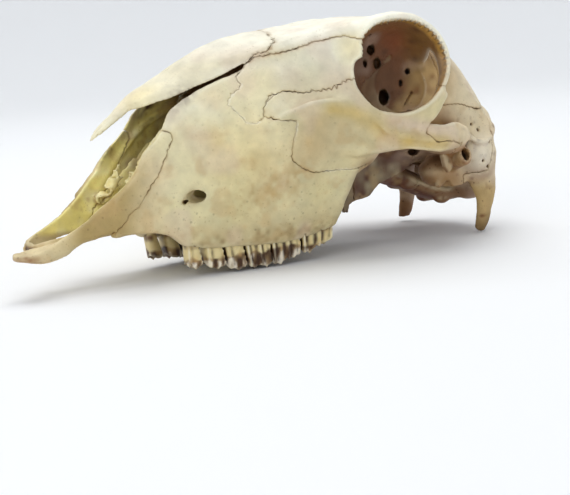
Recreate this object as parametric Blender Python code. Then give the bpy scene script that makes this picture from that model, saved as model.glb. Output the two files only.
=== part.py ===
"""Skull of a polled domestic sheep, without its lower jaw, resting on cheek teeth and jugular processes.

Lengths are in millimetres in a skull frame: x runs back from the snout tip, s is the distance out from
the midline, and z goes up from the floor.  The world frame is metres, snout towards -X, left side -Y.
"""

import math

import bmesh
import bpy
import numpy as np
from mathutils import Vector

MM = 0.001

# Driving dimensions of an adult polled ewe's skull
SNOUT_TIP = -2.0
CONDYLE_REAR = 246.0
MIDDLE_X = (SNOUT_TIP + CONDYLE_REAR) / 2
ORBIT_RADIUS = 20.3
ORBIT_CENTRE = (166.0, 50.0, 82.0)
ORBIT_OUTWARD = (-0.344, 0.925, 0.163)
RIM_THICKNESS = 1.8
BRAINCASE_HALF_WIDTH = 32.0
RIGHT_PREMAXILLA_TIP = 12.0
SUTURE_GAP = 0.35

# The skull is slightly twisted: with height, its right side sits lower than its left
TWIST = 0.11
TWIST_FLOOR = 10.0
TWIST_HEIGHT = 75.0
TWIST_BLEND = 6.0

VOXEL = 1.15
MASS_TRIANGLES = 3500
RING_STEPS = 5
FLAT_ANGLE = math.radians(5)

BONE_COLOUR = (0.83, 0.77, 0.62, 1.0)


def world(x, y, z):
    return Vector(((x - MIDDLE_X) * MM, y * MM, z * MM))


class Line:
    """A smooth landmark line through rows of (x, value, ...), without overshoot."""

    def __init__(self, *rows):
        table = np.array(rows, float)
        self.x = table[:, 0]
        self.values = table[:, 1:]
        secant = np.diff(self.values, axis=0) / np.diff(self.x)[:, None]
        product = secant[:-1] * secant[1:]
        total = np.where(product > 0, secant[:-1] + secant[1:], 1.0)
        inner = np.where(product > 0, 2 * product / total, 0.0)
        self.slope = np.vstack([secant[:1], inner, secant[-1:]])

    def __call__(self, x):
        x = min(max(x, self.x[0]), self.x[-1])
        i = min(int(np.searchsorted(self.x, x, side="right")) - 1, len(self.x) - 2)
        width = self.x[i + 1] - self.x[i]
        t = (x - self.x[i]) / width
        start = (1 + 2 * t) * (1 - t) ** 2 * self.values[i] + t * (1 - t) ** 2 * width * self.slope[i]
        end = t * t * (3 - 2 * t) * self.values[i + 1] - t * t * (1 - t) * width * self.slope[i + 1]
        return start + end


# ---------------------------------------------------------------- landmark lines of the face
DORSAL = Line((41, 60), (43, 61.8), (46, 65), (50, 68.6), (54, 72), (58, 75.4), (62, 78), (66, 80.2), (70, 82),
              (75, 84.4), (79, 86.4), (85, 89.6), (92, 92.8), (97, 95), (103, 96.9), (109, 98.4), (117, 99.6),
              (126, 100.4), (145, 102.2), (155, 103.6), (170, 104.6), (190, 102), (205, 96))
NASAL_EDGE = Line((41, 0.8, 59.4), (44, 2.2, 62.4), (47.2, 3.8, 64.8), (51, 4.3, 67), (54, 4.6, 69.2),
                  (57.7, 5.4, 71.6), (61.4, 9, 72.8), (66, 11.5, 74.2), (75, 15, 76.4), (88, 17.5, 80.8),
                  (101, 19, 85.6), (112, 20.5, 89.6), (124, 26, 93.5), (136, 32, 97.5), (147, 37, 100),
                  (160, 42, 101))
UPPER_SIDE = Line((41, 18, 45), (50, 19.5, 48), (60, 20, 53), (75, 21.5, 60), (90, 24.5, 64),
                  (105, 29, 67.5), (118, 34, 70), (130, 38.5, 73), (140, 41, 76), (160, 46, 82))
FACIAL_CREST = Line((41, 18, 30), (50, 19.5, 34), (60, 20, 38), (75, 23, 40), (90, 27.5, 44),
                    (105, 33, 50), (118, 38.5, 60), (130, 43, 66), (142, 46.5, 66.5), (160, 50, 60))
LOWER_SIDE = Line((41, 17.8, 25), (50, 19.3, 27), (60, 19.8, 28), (75, 22.4, 26), (90, 26.8, 28),
                  (105, 31.5, 31), (118, 35, 38), (130, 38, 42), (142, 42, 43.5), (160, 47, 47))
ALVEOLAR = Line((41, 17.2, 21.4), (50, 18.8, 22.2), (58.4, 19.1, 21.6), (63, 19.4, 20.5), (66.5, 19.8, 19),
                (69, 20.1, 16.6), (71.5, 20.4, 14.4), (75, 21, 13.5), (82, 22.8, 12.2), (99, 26.5, 11.4),
                (114, 28.5, 10.6), (124, 29.3, 11.3), (134, 29.8, 13), (142, 29.5, 14.6), (147, 29.5, 22),
                (150, 30, 32), (160, 36, 41))
PALATE_EDGE = Line((41, 9, 21.5), (60, 10, 21.8), (75, 10.5, 18), (99, 14, 15.4), (130, 16, 16),
                   (142, 16.5, 19), (150, 19, 33), (160, 22, 42))
PALATE_MID = Line((41, 22), (60, 23), (80, 21), (110, 20), (130, 21), (142, 24), (150, 35), (160, 44))

# Premaxillae: outer half-width, top and bottom
MUZZLE = Line((-0.6, 8, 19.4, 17.6), (1.5, 11.4, 20, 16.4), (5, 12.8, 20.4, 15.6), (12.5, 13.4, 22, 13.9),
              (17, 13.5, 24.4, 14), (21, 13.6, 27, 14.6), (25, 13.9, 30, 17), (29, 14.2, 32.5, 18.8),
              (34, 15.4, 35, 20), (40, 17.2, 39, 21.4), (46, 18.8, 43, 21.8), (56, 19.6, 50, 21.6))
# Braincase: half-width, top and bottom
BRAINCASE = Line((172, 20, 99, 40), (184, 26, 101, 38), (194, 30.5, 99, 36),
                 (206, BRAINCASE_HALF_WIDTH, 97, 33), (218, BRAINCASE_HALF_WIDTH, 89.6, 30),
                 (230, 29.5, 75.4, 26), (238, 26.5, 63.6, 25), (243, 20, 57, 34))

# Block between the eye sockets: half-width, top and bottom
SOCKET_BLOCK = Line((128, 24, 96, 36), (146, 27, 99, 40), (160, 22, 101, 38), (176, 18.5, 100, 36),
                    (190, 22, 98, 34), (200, 25, 94, 34))

# Frontal roof: half-width, edge height, thickness and the fall halfway to the edge
ROOF = Line((118, 20, 90, 5, 5), (138, 33, 97, 5, 2), (150, 39, 100.5, 5, 0.8), (160, 46.5, 103.5, 5.5, 0.4),
            (170, 50, 102.5, 6, 0.4), (178, 51.5, 98.5, 7, 0.4), (184, 49.5, 94, 8, 0.6),
            (189, 43, 93, 8, 1), (197, 31, 90, 9, 2))

# Nasal cavity: half-width, top and floor
NASAL_CAVITY = Line((6, 8, 54, 19.5), (16, 10.6, 54, 19), (26, 10.8, 54, 20), (34, 12, 54, 22.5),
                    (41, 14.8, 56, 24.4), (48, 16.2, 61, 25), (60, 16.8, 71.4, 26), (75, 18.6, 80.4, 25),
                    (90, 21.5, 87.2, 24), (105, 25.4, 92.6, 24), (118, 28.5, 95.4, 26), (130, 27, 96, 30),
                    (140, 18, 88, 36))
CHOANA = Line((116, 7.5, 31, 25), (128, 8.5, 33, 20), (145, 9, 36, 12), (168, 9, 38, 10), (180, 7, 37, 12))

PREMAXILLA_TOP = ((-8, 19.4), (2, 19.2), (6, 18.9), (10.3, 19.8), (14.7, 21.3), (20, 24), (26, 26.7), (31, 29.4),
                  (36.6, 33.3), (41, 36.6), (46.3, 41.2), (51.5, 46.2), (54.3, 50.6), (57, 54.6), (62, 58.7),
                  (66, 62.7), (68.7, 66.9), (70, 69.2))
MAXILLA_TOP = ((72.1, 71.2), (77.4, 74.6), (81.6, 76.5), (84.7, 78.2), (89.4, 79.8), (94.2, 81.5), (98.9, 82.8),
               (105.3, 85), (107, 86))
NASAL_UNDERSIDE = ((107, 87.6), (103.2, 86), (97.1, 83.6), (90.5, 81.4), (83.6, 79.2), (76.8, 76.9), (72.6, 75.4),
                   (68.6, 74.4), (65.2, 73.5), (61.4, 72.4), (59.2, 71.8), (57.7, 71), (54.1, 68.6),
                   (50.9, 66.4), (47.2, 64.1), (44.2, 61.8), (42, 60), (36, 56))
# Cheek teeth of one side: name, start, end, crown tip and width from the cheek inwards
CHEEK_TEETH = (("premolar_2", 73.8, 80.4, 3.2, 6.4), ("premolar_3", 81.2, 89.6, 2.2, 9),
               ("premolar_4", 90.4, 98.8, 0.6, 10.5), ("molar_1", 99.6, 110.8, 0, 12),
               ("molar_2", 111.6, 125.2, 0, 13), ("molar_3", 126, 142.6, 3.2, 12))


# ---------------------------------------------------------------- mesh tools
def closed_loft(rings):
    """Closed mesh through rings of equally many skull-frame points, capped at both ends."""
    mesh = bmesh.new()
    loops = [[mesh.verts.new(world(*point)) for point in ring] for ring in rings]
    count = len(loops[0])
    for near, far in zip(loops, loops[1:]):
        for i in range(count):
            j = (i + 1) % count
            mesh.faces.new((near[i], near[j], far[j], far[i]))
    mesh.faces.new(loops[0][::-1])
    mesh.faces.new(loops[-1])
    bmesh.ops.recalc_face_normals(mesh, faces=mesh.faces)
    return mesh


def rounded(points, steps):
    """Closed Catmull-Rom curve through the given points."""
    ring = [np.array(point, float) for point in points]
    result = []
    for i in range(len(ring)):
        a, b, c, d = (ring[(i + k) % len(ring)] for k in (-1, 0, 1, 2))
        for k in range(steps):
            t = k / steps
            result.append(0.5 * (2 * b + (c - a) * t + (2 * a - 5 * b + 4 * c - d) * t * t
                                 + (3 * b - a - 3 * c + d) * t ** 3))
    return result


def oval(x, half_width, top, bottom, power, count):
    """Upright superellipse across the skull at x."""
    middle, half_height = (top + bottom) / 2, (top - bottom) / 2
    ring = []
    for i in range(count):
        angle = 2 * math.pi * i / count
        c, s = math.cos(angle), math.sin(angle)
        y = half_width * math.copysign(abs(c) ** (2 / power), c)
        z = middle + half_height * math.copysign(abs(s) ** (2 / power), s)
        ring.append((x, y, z))
    return ring


def stations(start, end, step):
    count = max(2, round((end - start) / step) + 1)
    return np.linspace(start, end, count)


def oval_loft(line, start, end, step=3.0, power=2.0, count=32):
    return closed_loft([oval(x, *line(x), power, count) for x in stations(start, end, step)])


def tube(path, across, count=10, side=1):
    """Flattened tube along rows of (x, s, z, half size across, half size along)."""
    rows = np.array(path, float)
    centres = rows[:, :3] * (1, side, 1)
    across = np.array(across, float) * (1, side, 1)
    rings = []
    for i, centre in enumerate(centres):
        tangent = centres[min(i + 1, len(rows) - 1)] - centres[max(i - 1, 0)]
        tangent = tangent / np.linalg.norm(tangent)
        u = across - tangent * (across @ tangent)
        u = u / np.linalg.norm(u)
        v = np.cross(tangent, u)
        a, b = rows[i, 3:5]
        turn = [2 * math.pi * k / count for k in range(count)]
        rings.append([centre + u * a * math.cos(t) + v * b * math.sin(t) for t in turn])
    return closed_loft(rings)


def blob(centre, radii, side=1, levels=3):
    mesh = bmesh.new()
    bmesh.ops.create_icosphere(mesh, subdivisions=levels, radius=1.0)
    for vertex in mesh.verts:
        x, y, z = (c + r * v for c, r, v in zip(centre, radii, vertex.co))
        vertex.co = world(x, y * side, z)
    if side < 0:
        bmesh.ops.reverse_faces(mesh, faces=mesh.faces)
    return mesh


def prism(outline, low, high):
    """Side-view outline of (x, z) points, extruded from y = low to y = high."""
    return closed_loft([[(x, y, z) for x, z in outline] for y in (low, high)])


def plate(outline, inner, outer, side=1):
    low, high = sorted((inner * side, outer * side))
    return prism(outline, low, high)


def make_object(name, meshes):
    data = bpy.data.meshes.new(name)
    whole = bmesh.new()
    for mesh in meshes:
        part = bpy.data.meshes.new("part")
        mesh.to_mesh(part)
        mesh.free()
        whole.from_mesh(part)
        bpy.data.meshes.remove(part)
    whole.to_mesh(data)
    whole.free()
    item = bpy.data.objects.new(name, data)
    bpy.context.scene.collection.objects.link(item)
    return item


def apply_modifiers(item):
    bpy.context.view_layer.update()
    graph = bpy.context.evaluated_depsgraph_get()
    data = bpy.data.meshes.new_from_object(item.evaluated_get(graph))
    item.modifiers.clear()
    old = item.data
    item.data = data
    bpy.data.meshes.remove(old)


def remove(item):
    data = item.data
    bpy.data.objects.remove(item)
    bpy.data.meshes.remove(data)


def carve(item, tool, operation="DIFFERENCE"):
    """Boolean with one closed tool mesh, applied at once."""
    cutter = make_object("cutter", [tool])
    boolean = item.modifiers.new("Boolean", "BOOLEAN")
    boolean.operation = operation
    boolean.object = cutter
    apply_modifiers(item)
    remove(cutter)


def clean(item):
    """Keep the largest island, as one closed triangle mesh."""
    mesh = bmesh.new()
    mesh.from_mesh(item.data)
    bmesh.ops.dissolve_limit(mesh, angle_limit=FLAT_ANGLE, verts=mesh.verts, edges=mesh.edges)
    bmesh.ops.triangulate(mesh, faces=mesh.faces)
    bmesh.ops.dissolve_degenerate(mesh, dist=0.02 * MM, edges=mesh.edges)
    bmesh.ops.triangulate(mesh, faces=mesh.faces)
    mesh.verts.ensure_lookup_table()
    seen, islands = set(), []
    for vertex in mesh.verts:
        if vertex in seen:
            continue
        island, queue = [], [vertex]
        seen.add(vertex)
        while queue:
            current = queue.pop()
            island.append(current)
            for edge in current.link_edges:
                other = edge.other_vert(current)
                if other not in seen:
                    seen.add(other)
                    queue.append(other)
        islands.append(island)
    islands.sort(key=len, reverse=True)
    for island in islands[1:]:
        bmesh.ops.delete(mesh, geom=island, context="VERTS")
    mesh.to_mesh(item.data)
    mesh.free()


# ---------------------------------------------------------------- the mass of bone
def face_ring(x):
    half = [(0, DORSAL(x)[0]), tuple(NASAL_EDGE(x)), tuple(UPPER_SIDE(x)), tuple(FACIAL_CREST(x)),
            tuple(LOWER_SIDE(x)), tuple(ALVEOLAR(x)), tuple(PALATE_EDGE(x)), (0, PALATE_MID(x)[0])]
    arch = (half[1][0] * 0.62, half[0][1] * 0.62 + half[1][1] * 0.38)
    half.insert(1, arch)
    left = [(x, -s, z) for s, z in half]
    right = [(x, s, z) for s, z in half[-2:0:-1]]
    return rounded(left + right, RING_STEPS)


def face():
    return closed_loft([face_ring(x) for x in stations(41.5, 158, 3)])


def frontal_roof():
    rings = []
    for x in stations(118, 197, 3):
        half_width, edge, thick, fall = ROOF(x)
        top = DORSAL(x)[0] - 0.4
        shoulder = (top - fall + 2 * edge) / 3 + 0.6
        upper = [(0, top), (half_width * 0.45, top - fall), (half_width * 0.8, shoulder)]
        rim = [(half_width, edge - 1), (half_width - 1.5, edge - thick)]
        lower = [(half_width * 0.6, edge - thick - 1), (0, edge - thick - 1)]
        half = upper + rim + lower
        ring = [(x, -s, z) for s, z in half] + [(x, s, z) for s, z in half[-2:0:-1]]
        rings.append(rounded(ring, RING_STEPS))
    return closed_loft(rings)


def orbit_frame():
    """Centre, backward and upward directions of the socket's rim plane, with the outward axis."""
    outward = np.array(ORBIT_OUTWARD) / np.linalg.norm(ORBIT_OUTWARD)
    back = np.array((outward[1], -outward[0], 0.0))
    back = back / np.linalg.norm(back)
    up = np.cross(back, outward)
    return np.array(ORBIT_CENTRE), back, up, outward


def orbit_rim(side):
    centre, back, up, outward = orbit_frame()
    rings = []
    count, across = 40, 10
    for i in range(count):
        angle = 2 * math.pi * i / count
        radial = back * math.cos(angle) + up * math.sin(angle)
        rear = max(0.0, math.cos(angle))
        thick = RIM_THICKNESS - 0.4 * rear
        middle = centre + radial * (ORBIT_RADIUS + thick) - outward * 1.5
        ring = []
        for k in range(across):
            turn = 2 * math.pi * k / across
            point = middle + radial * thick * math.cos(turn) + outward * (3.2 + rear) * math.sin(turn)
            ring.append(point * (1, side, 1))
        rings.append(ring)
    mesh = bmesh.new()
    loops = [[mesh.verts.new(world(*point)) for point in ring] for ring in rings]
    for i in range(count):
        near, far = loops[i], loops[(i + 1) % count]
        for k in range(across):
            j = (k + 1) % across
            mesh.faces.new((near[k], near[j], far[j], far[k]))
    bmesh.ops.recalc_face_normals(mesh, faces=mesh.faces)
    return mesh


def orbit_space(side):
    """The socket's hollow, from outside the rim to the optic apex."""
    centre, back, up, outward = orbit_frame()
    rings = []
    for depth, radius, rearward, drop in ((-9, 24, 0, 0), (0, ORBIT_RADIUS, 0, 0), (8, 20.6, 0.5, 0),
                                          (16, 19.5, 2, 1), (24, 16.5, 5, 3), (30, 12, 9, 6), (34, 6, 12, 9)):
        middle = centre - outward * depth + back * rearward - up * drop
        ring = []
        for k in range(18):
            turn = 2 * math.pi * k / 18
            point = middle + radius * (back * math.cos(turn) + up * math.sin(turn))
            ring.append(point * (1, side, 1))
        rings.append(ring)
    return closed_loft(rings)


def zygomatic_arch(side):
    """Cheek bar below the socket, running back to the joint of the jaw."""
    bar = [(124, 34, 52, 4, 6), (138, 40.5, 54, 5, 10.5), (150, 46, 54, 4.5, 9.6), (160, 49, 53.5, 3.6, 8),
           (170, 51.5, 52.5, 3, 6), (180, 53, 51, 2.8, 5), (190, 52.5, 50, 2.8, 4.6), (198, 50, 49.8, 3, 4.4),
           (204, 46, 49, 3.4, 4.2), (209, 40, 48, 4.5, 4.2), (211, 32, 47, 6, 5)]
    bottom = [(158, 49.5, 60, 3.2, 5), (168, 52, 60, 2.8, 4), (177, 54, 61, 2.4, 4.4), (184, 55.5, 70, 2.2, 4)]
    return [tube(bar, (0.2, 1, 0), side=side), tube(bottom, (0, 1, 0), side=side)]


def jaw_joint(side):
    """Articular surface under the root of the arch, and the ridge in front of the ear."""
    return [blob((204, 37, 42), (9, 10, 4.5), side, 2), blob((209, 37, 42), (3.2, 6, 5), side, 2)]


def ear(side):
    """Ear canal, bulla and mastoid."""
    canal = [(211, 24, 33, 3.5, 3.5), (211, 33, 36, 3.6, 3.8), (211, 39, 38, 3.3, 3.8)]
    return [tube(canal, (1, 0, 0), side=side), blob((209, 22, 30), (12, 8.5, 8), side, 2),
            blob((227, 28.5, 38), (10, 7.5, 14), side, 2)]


def jugular_process(side):
    """Curved bony spur that carries the back of the skull."""
    left = [(230, 27, 38, 5, 9), (229, 28.5, 28, 3.6, 8.4), (230, 29, 20, 2.8, 6.6), (230.2, 29, 13, 2.4, 4.8),
            (229.3, 29, 6, 2.2, 4), (228.6, 29, -1.6, 1.9, 2.6)]
    right = left[:-1] + [(227.4, 28, 1.8, 2.2, 3)]
    return tube(left if side < 0 else right, (0, 1, 0), side=side)


def condyle(side):
    return blob((234.5, 12.5, 25), (11.3, 9.5, 12.5), side, 3)


def base_of_skull():
    basioccipital = [(238, 0, 20, 13, 6.5), (226, 0, 19, 12, 6), (214, 0, 22, 10.5, 5), (202, 0, 27, 9, 5),
                     (184, 0, 34, 8.5, 6), (166, 0, 41, 8, 7)]
    return tube(basioccipital, (0, 1, 0), count=12)


def pterygoid_plate(side):
    """Thin plate that hangs from the palate's end to the base of the skull."""
    outline = ((122, 18), (128, 17), (143, 19), (152, 21), (158, 18), (160.5, 15.5), (163, 20), (171, 21.5),
               (178, 25), (184, 28), (192, 30), (203, 36), (203, 44), (176, 46), (150, 48), (132, 44),
               (122, 30))
    return plate(outline, 10.4, 13.2, side)


def nuchal_crest():
    crest = [(233, -27, 47, 5, 7), (238.5, -17, 54.5, 4, 4), (241, 0, 57, 3.5, 4), (238.5, 17, 54.5, 4, 4),
             (233, 27, 47, 5, 7)]
    return tube(crest, (1, 0, 0))


def bone_mass():
    meshes = [face(), oval_loft(MUZZLE, -0.6, 56, power=3.6), frontal_roof(),
              oval_loft(SOCKET_BLOCK, 128, 200, power=2.4), oval_loft(BRAINCASE, 172, 243, power=2.2),
              base_of_skull(), nuchal_crest()]
    for side in (-1, 1):
        meshes += [orbit_rim(side), *zygomatic_arch(side), *jaw_joint(side), *ear(side),
                   jugular_process(side), condyle(side), pterygoid_plate(side)]
    mass = make_object("mass", meshes)
    remesh = mass.modifiers.new("Remesh", "REMESH")
    remesh.mode = "VOXEL"
    remesh.voxel_size = VOXEL * MM
    apply_modifiers(mass)
    smooth = mass.modifiers.new("Smooth", "SMOOTH")
    smooth.iterations = 2
    smooth.factor = 0.5
    decimate = mass.modifiers.new("Decimate", "DECIMATE")
    decimate.ratio = MASS_TRIANGLES / sum(len(face.vertices) - 2 for face in mass.data.polygons)
    apply_modifiers(mass)
    return mass


# ---------------------------------------------------------------- openings
def palatine_fissure(side):
    outline = [(17, 4.6), (15, 8), (18, 11.6), (30, 12.2), (44, 12), (52, 9), (54, 5.4), (34, 4.9)]
    rings = [[(x, s * side, z) for x, s in outline] for z in (8, 34)]
    return closed_loft(rings)


def cheek_gap(side):
    """The space behind the upper jaw and below the arch."""
    outline = ((141, 2), (144.5, 18), (146.5, 26), (151, 34), (156, 39.5), (163, 42), (178, 42), (200, 41),
               (205, 30), (205, 2))
    return plate(outline, 17, 70, side)


def infraorbital_canal(side):
    canal = [(73, 26, 34.2, 1.6, 3), (79, 23, 34.5, 2.6, 3.2), (85, 22, 34.8, 2, 2.4)]
    return tube(canal, (0, 0, 1), count=8, side=side)


def openings():
    aperture = PREMAXILLA_TOP + MAXILLA_TOP + NASAL_UNDERSIDE + ((36, 96), (-8, 96))
    tip_cleft = ((-8, 12), (-8, 24), (7, 24), (12, 22), (12, 12))
    foramen_magnum = [(224, 0, 32.5, 6, 6), (232, 0, 31.2, 9, 8.6), (250, 0, 28.6, 10.5, 10.4)]
    broken_end = ((-10, 8), (RIGHT_PREMAXILLA_TIP - 2, 8), (RIGHT_PREMAXILLA_TIP + 1, 26), (-10, 26))
    floor = ((60, -8), (60, 0), (240, 0), (240, -8))
    tools = [prism(aperture, -60, 60), oval_loft(NASAL_CAVITY, 6, 140, 8, 2.8, 16),
             oval_loft(CHOANA, 116, 180, 10, 3, 12), prism(tip_cleft, -1.2, 1.2),
             tube(foramen_magnum, (0, 1, 0), count=18), prism(broken_end, 0.4, 24), prism(floor, -60, 60)]
    for side in (-1, 1):
        tools += [orbit_space(side), palatine_fissure(side), cheek_gap(side), infraorbital_canal(side)]
    return tools


# ---------------------------------------------------------------- cheek teeth
def tooth(start, end, tip, width, side):
    """One cheek tooth, from its crown tip up into the jaw."""
    rings = []
    for z, shrink in ((tip, 0.7), (tip + 1.2, 0.15), (15, 0), (24, 0.4)):
        near, far = ALVEOLAR(start)[0] - 0.8 - shrink, ALVEOLAR(end)[0] - 0.8 - shrink
        low, high = start + shrink, end - shrink
        corner = 0.22 * (high - low)
        inner = (near + far) / 2 - width + 2 * shrink
        ring = [(low, near - corner), (low + corner, near), (high - corner, far), (high, far - corner),
                (high, inner + corner), (high - corner, inner), (low + corner, inner), (low, inner + corner)]
        rings.append([(x, s * side, z) for x, s in ring])
    return closed_loft(rings)


# ---------------------------------------------------------------- bones
def grown(outline, margin):
    """The outline moved outwards by a margin."""
    points = [np.array(point, float) for point in outline]
    area = sum(a[0] * b[1] - b[0] * a[1] for a, b in zip(points, points[1:] + points[:1]))
    turn = 1 if area > 0 else -1
    result = []
    for i, point in enumerate(points):
        before = point - points[i - 1]
        after = points[(i + 1) % len(points)] - point
        normals = [turn * np.array((e[1], -e[0])) / np.linalg.norm(e) for e in (before, after)]
        middle = normals[0] + normals[1]
        middle = middle / np.linalg.norm(middle)
        result.append(tuple(point + middle * margin / max(0.4, middle @ normals[0])))
    return result


PREMAXILLA_SUTURE = ((39.6, 21), (42.5, 25.2), (45.5, 27.8), (49.2, 31.1), (52.5, 33.6), (54.6, 37),
                     (57.5, 39.6), (60.4, 43), (62.3, 46.5), (63.9, 49.2), (66.4, 52), (68, 55), (69.5, 60),
                     (71, 65), (72, 73.6))
NASAL_BELOW = ((30, 52), (44, 60.2), (53, 66), (60, 70.2), (66, 72), (72, 73.3), (77, 75.6), (84, 78.6),
               (90, 80.5), (97, 83), (103, 85.2), (107.4, 87.2))
FRONTONASAL = ((112, 90.4), (119, 93), (123, 96.5), (127, 100), (131, 104))
LACRIMAL_FRONT = ((107.4, 86.8), (101.5, 82), (103, 78.5), (97, 74), (95.5, 71), (98, 67.5), (101, 63.5),
                  (105.5, 63.3), (108.5, 65))
LACRIMAL_BELOW = ((109, 68), (112.5, 73.5), (118, 75), (127, 74), (138, 74.5), (149, 79))
LACRIMAL_ABOVE = ((111.5, 89.4), (117, 91), (124, 91.8), (134, 95), (143, 97), (153, 95))
MALAR_FRONT = ((108.5, 65), (113.5, 63), (119, 62), (119.5, 57), (117, 52), (118, 46), (122, 42), (130, 40),
               (142, 39.5))
ARCH_SEAM = ((178, 56), (176.8, 53), (180.5, 49), (188, 47.8), (198, 45.4))
SQUAMOSAL = ((199, 62), (212, 61.5), (221, 59.5), (231.5, 58))
MASTOID = ((217.5, 12), (217.5, 29.5), (229, 30), (231.5, 40))
CORONAL = ((199, 62), (203.4, 77), (203.6, 112))
LAMBDOID = ((231.5, 58), (234, 68), (234, 112))

NASAL = NASAL_BELOW + FRONTONASAL + ((131, 112), (30, 112))
PREMAXILLA = ((-12, 4), (39.6, 4)) + PREMAXILLA_SUTURE + ((60, 80), (-12, 80))
LACRIMAL = LACRIMAL_FRONT + LACRIMAL_BELOW + ((158, 80), (158, 93)) + LACRIMAL_ABOVE[::-1]
ZYGOMATIC = (MALAR_FRONT[::-1] + LACRIMAL_BELOW + ((158, 79), (158, 72), (194, 72), (184, 60)) + ARCH_SEAM
             + ((198, 36), (170, 36), (160, 41.5)))
FRONTAL = (((109, 90), (109, 65), (158, 65), (158, 62)) + CORONAL + ((131.5, 112), (131.5, 104))
           + FRONTONASAL[-2::-1])
TEMPORAL = ((186, 60),) + ARCH_SEAM + ((198, 36), (198, 12)) + MASTOID + SQUAMOSAL[::-1]
MAXILLA = (((39.6, -2),) + PREMAXILLA_SUTURE + NASAL_BELOW[6:] + LACRIMAL_FRONT
           + ((158, 65), (158, -2)))
PALATINE = ((106, 8), (106, 25), (120, 30), (132, 47), (166, 50), (166, 8))
PARIETAL = CORONAL + LAMBDOID[::-1] + SQUAMOSAL[-2:0:-1]
OCCIPITAL = ((206, 0), (206, 36), (229, 38)) + MASTOID[-1:] + LAMBDOID + ((252, 112), (252, -4), (206, -4))

# Each bone's side-view territory, with its inner and outer limits from the midline
PAIRED_BONES = (("nasal", NASAL, 0, 44), ("premaxilla", PREMAXILLA, 0, 44), ("lacrimal", LACRIMAL, 14, 70),
                ("zygomatic", ZYGOMATIC, 29, 70), ("frontal", FRONTAL, 0, 70), ("temporal", TEMPORAL, 14, 70),
                ("palatine", PALATINE, 0, 14.4), ("maxilla", MAXILLA, 0, 70))
MIDLINE_BONES = (("parietal", PARIETAL), ("occipital", OCCIPITAL))


def separate(mass, name, outline, low, high):
    """Take one bone out of the mass, with a suture gap left round it."""
    bone = mass.copy()
    bone.data = mass.data.copy()
    bpy.context.scene.collection.objects.link(bone)
    carve(bone, prism(outline, low, high), "INTERSECT")
    clean(bone)
    bone.name = name
    carve(mass, prism(grown(outline, SUTURE_GAP), low - SUTURE_GAP, high + SUTURE_GAP))
    return bone


def vomer():
    outline = ((62, 27), (75, 26), (90, 25), (105, 25), (116, 27), (124, 28.5), (150, 32), (150, 34.6),
               (138, 34.6), (134, 44), (118, 47), (90, 41), (62, 31))
    return make_object("vomer", [prism(outline, -0.8, 0.8)])


def lower_right_side(item):
    for vertex in item.data.vertices:
        y, z = vertex.co.y / MM, vertex.co.z / MM
        if y > 0:
            share = min(1.0, max(0.0, (z - TWIST_FLOOR) / TWIST_HEIGHT))
            share = share * share * (3 - 2 * share)
            vertex.co.z -= TWIST * share * y * y / (y + TWIST_BLEND) * MM


def paint(item):
    material = bpy.data.materials.new(item.name + "_bone")
    material.use_nodes = True
    shader = material.node_tree.nodes["Principled BSDF"]
    shader.inputs["Base Color"].default_value = BONE_COLOUR
    shader.inputs["Roughness"].default_value = 0.6
    item.data.materials.clear()
    item.data.materials.append(material)


def build():
    for item in list(bpy.data.objects):
        bpy.data.objects.remove(item)
    mass = bone_mass()
    for tool in openings():
        carve(mass, tool)
    clean(mass)
    for name, start, end, tip, width in CHEEK_TEETH:
        for side in (-1, 1):
            carve(mass, tooth(start, end, tip, width, side), "UNION")
    bones = [vomer()]
    for name, outline, inner, outer in PAIRED_BONES:
        for label, side in (("left", -1), ("right", 1)):
            low, high = sorted(((inner + SUTURE_GAP / 2) * side, outer * side))
            bones.append(separate(mass, f"{name}_{label}", outline, low, high))
    for name, outline in MIDLINE_BONES:
        bones.append(separate(mass, name, outline, -70, 70))
    clean(mass)
    mass.name = "sphenoid"
    bones.append(mass)
    for bone in bones:
        lower_right_side(bone)
        paint(bone)
        bone.data.shade_flat()


build()
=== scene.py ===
"""Looks of a sheep skull: every bone as a fine closed mesh, with procedural bone, enamel and dirt, and
painted light and shade.

The bones are carved out of one distance field.  It is worked out in millimetres in a skull frame: x runs
back from the snout tip, s is the distance out from the midline, and z goes up from the floor.  The field
covers the left half; the right half is its mirror image, with this skull's own small differences.  In the
distance fields and in the paints, bare numbers are such places and sizes, read off this one skull.
"""

import itertools
import math

import bmesh
import bpy
import numpy as np
from mathutils import Matrix, Vector


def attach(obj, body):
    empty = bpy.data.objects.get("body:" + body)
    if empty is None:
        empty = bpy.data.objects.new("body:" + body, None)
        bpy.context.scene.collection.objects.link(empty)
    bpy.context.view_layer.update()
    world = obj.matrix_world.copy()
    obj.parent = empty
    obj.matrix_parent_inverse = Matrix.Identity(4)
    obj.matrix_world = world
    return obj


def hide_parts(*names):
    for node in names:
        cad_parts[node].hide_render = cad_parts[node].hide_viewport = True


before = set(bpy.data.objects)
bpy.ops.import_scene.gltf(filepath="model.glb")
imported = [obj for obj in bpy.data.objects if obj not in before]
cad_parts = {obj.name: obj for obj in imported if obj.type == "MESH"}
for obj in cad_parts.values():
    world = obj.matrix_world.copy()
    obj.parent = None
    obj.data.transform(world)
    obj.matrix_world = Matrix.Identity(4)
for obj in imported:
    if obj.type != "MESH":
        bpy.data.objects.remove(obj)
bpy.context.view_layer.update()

MM = 0.001
MIDDLE_X = 122.0

# Grid of the distance field
STEP = 0.62
GRID_LOW = np.array((-4.0, -1.5 * STEP, -1.5))
GRID_HIGH = np.array((249.0, 63.0, 109.0))
# A distance that counts as far off, and how far out a shape's own distances are worked out
FAR = 14.0
REACH = 6.0
# Limits of a block that lie beyond the grid: above or outside it, and below it or past the midline
OUTSIDE = 199
PAST_MIDDLE = -9
# Cells of the grid along a side of the coarse cells that tell open places from hidden ones
COARSE = 4

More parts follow.
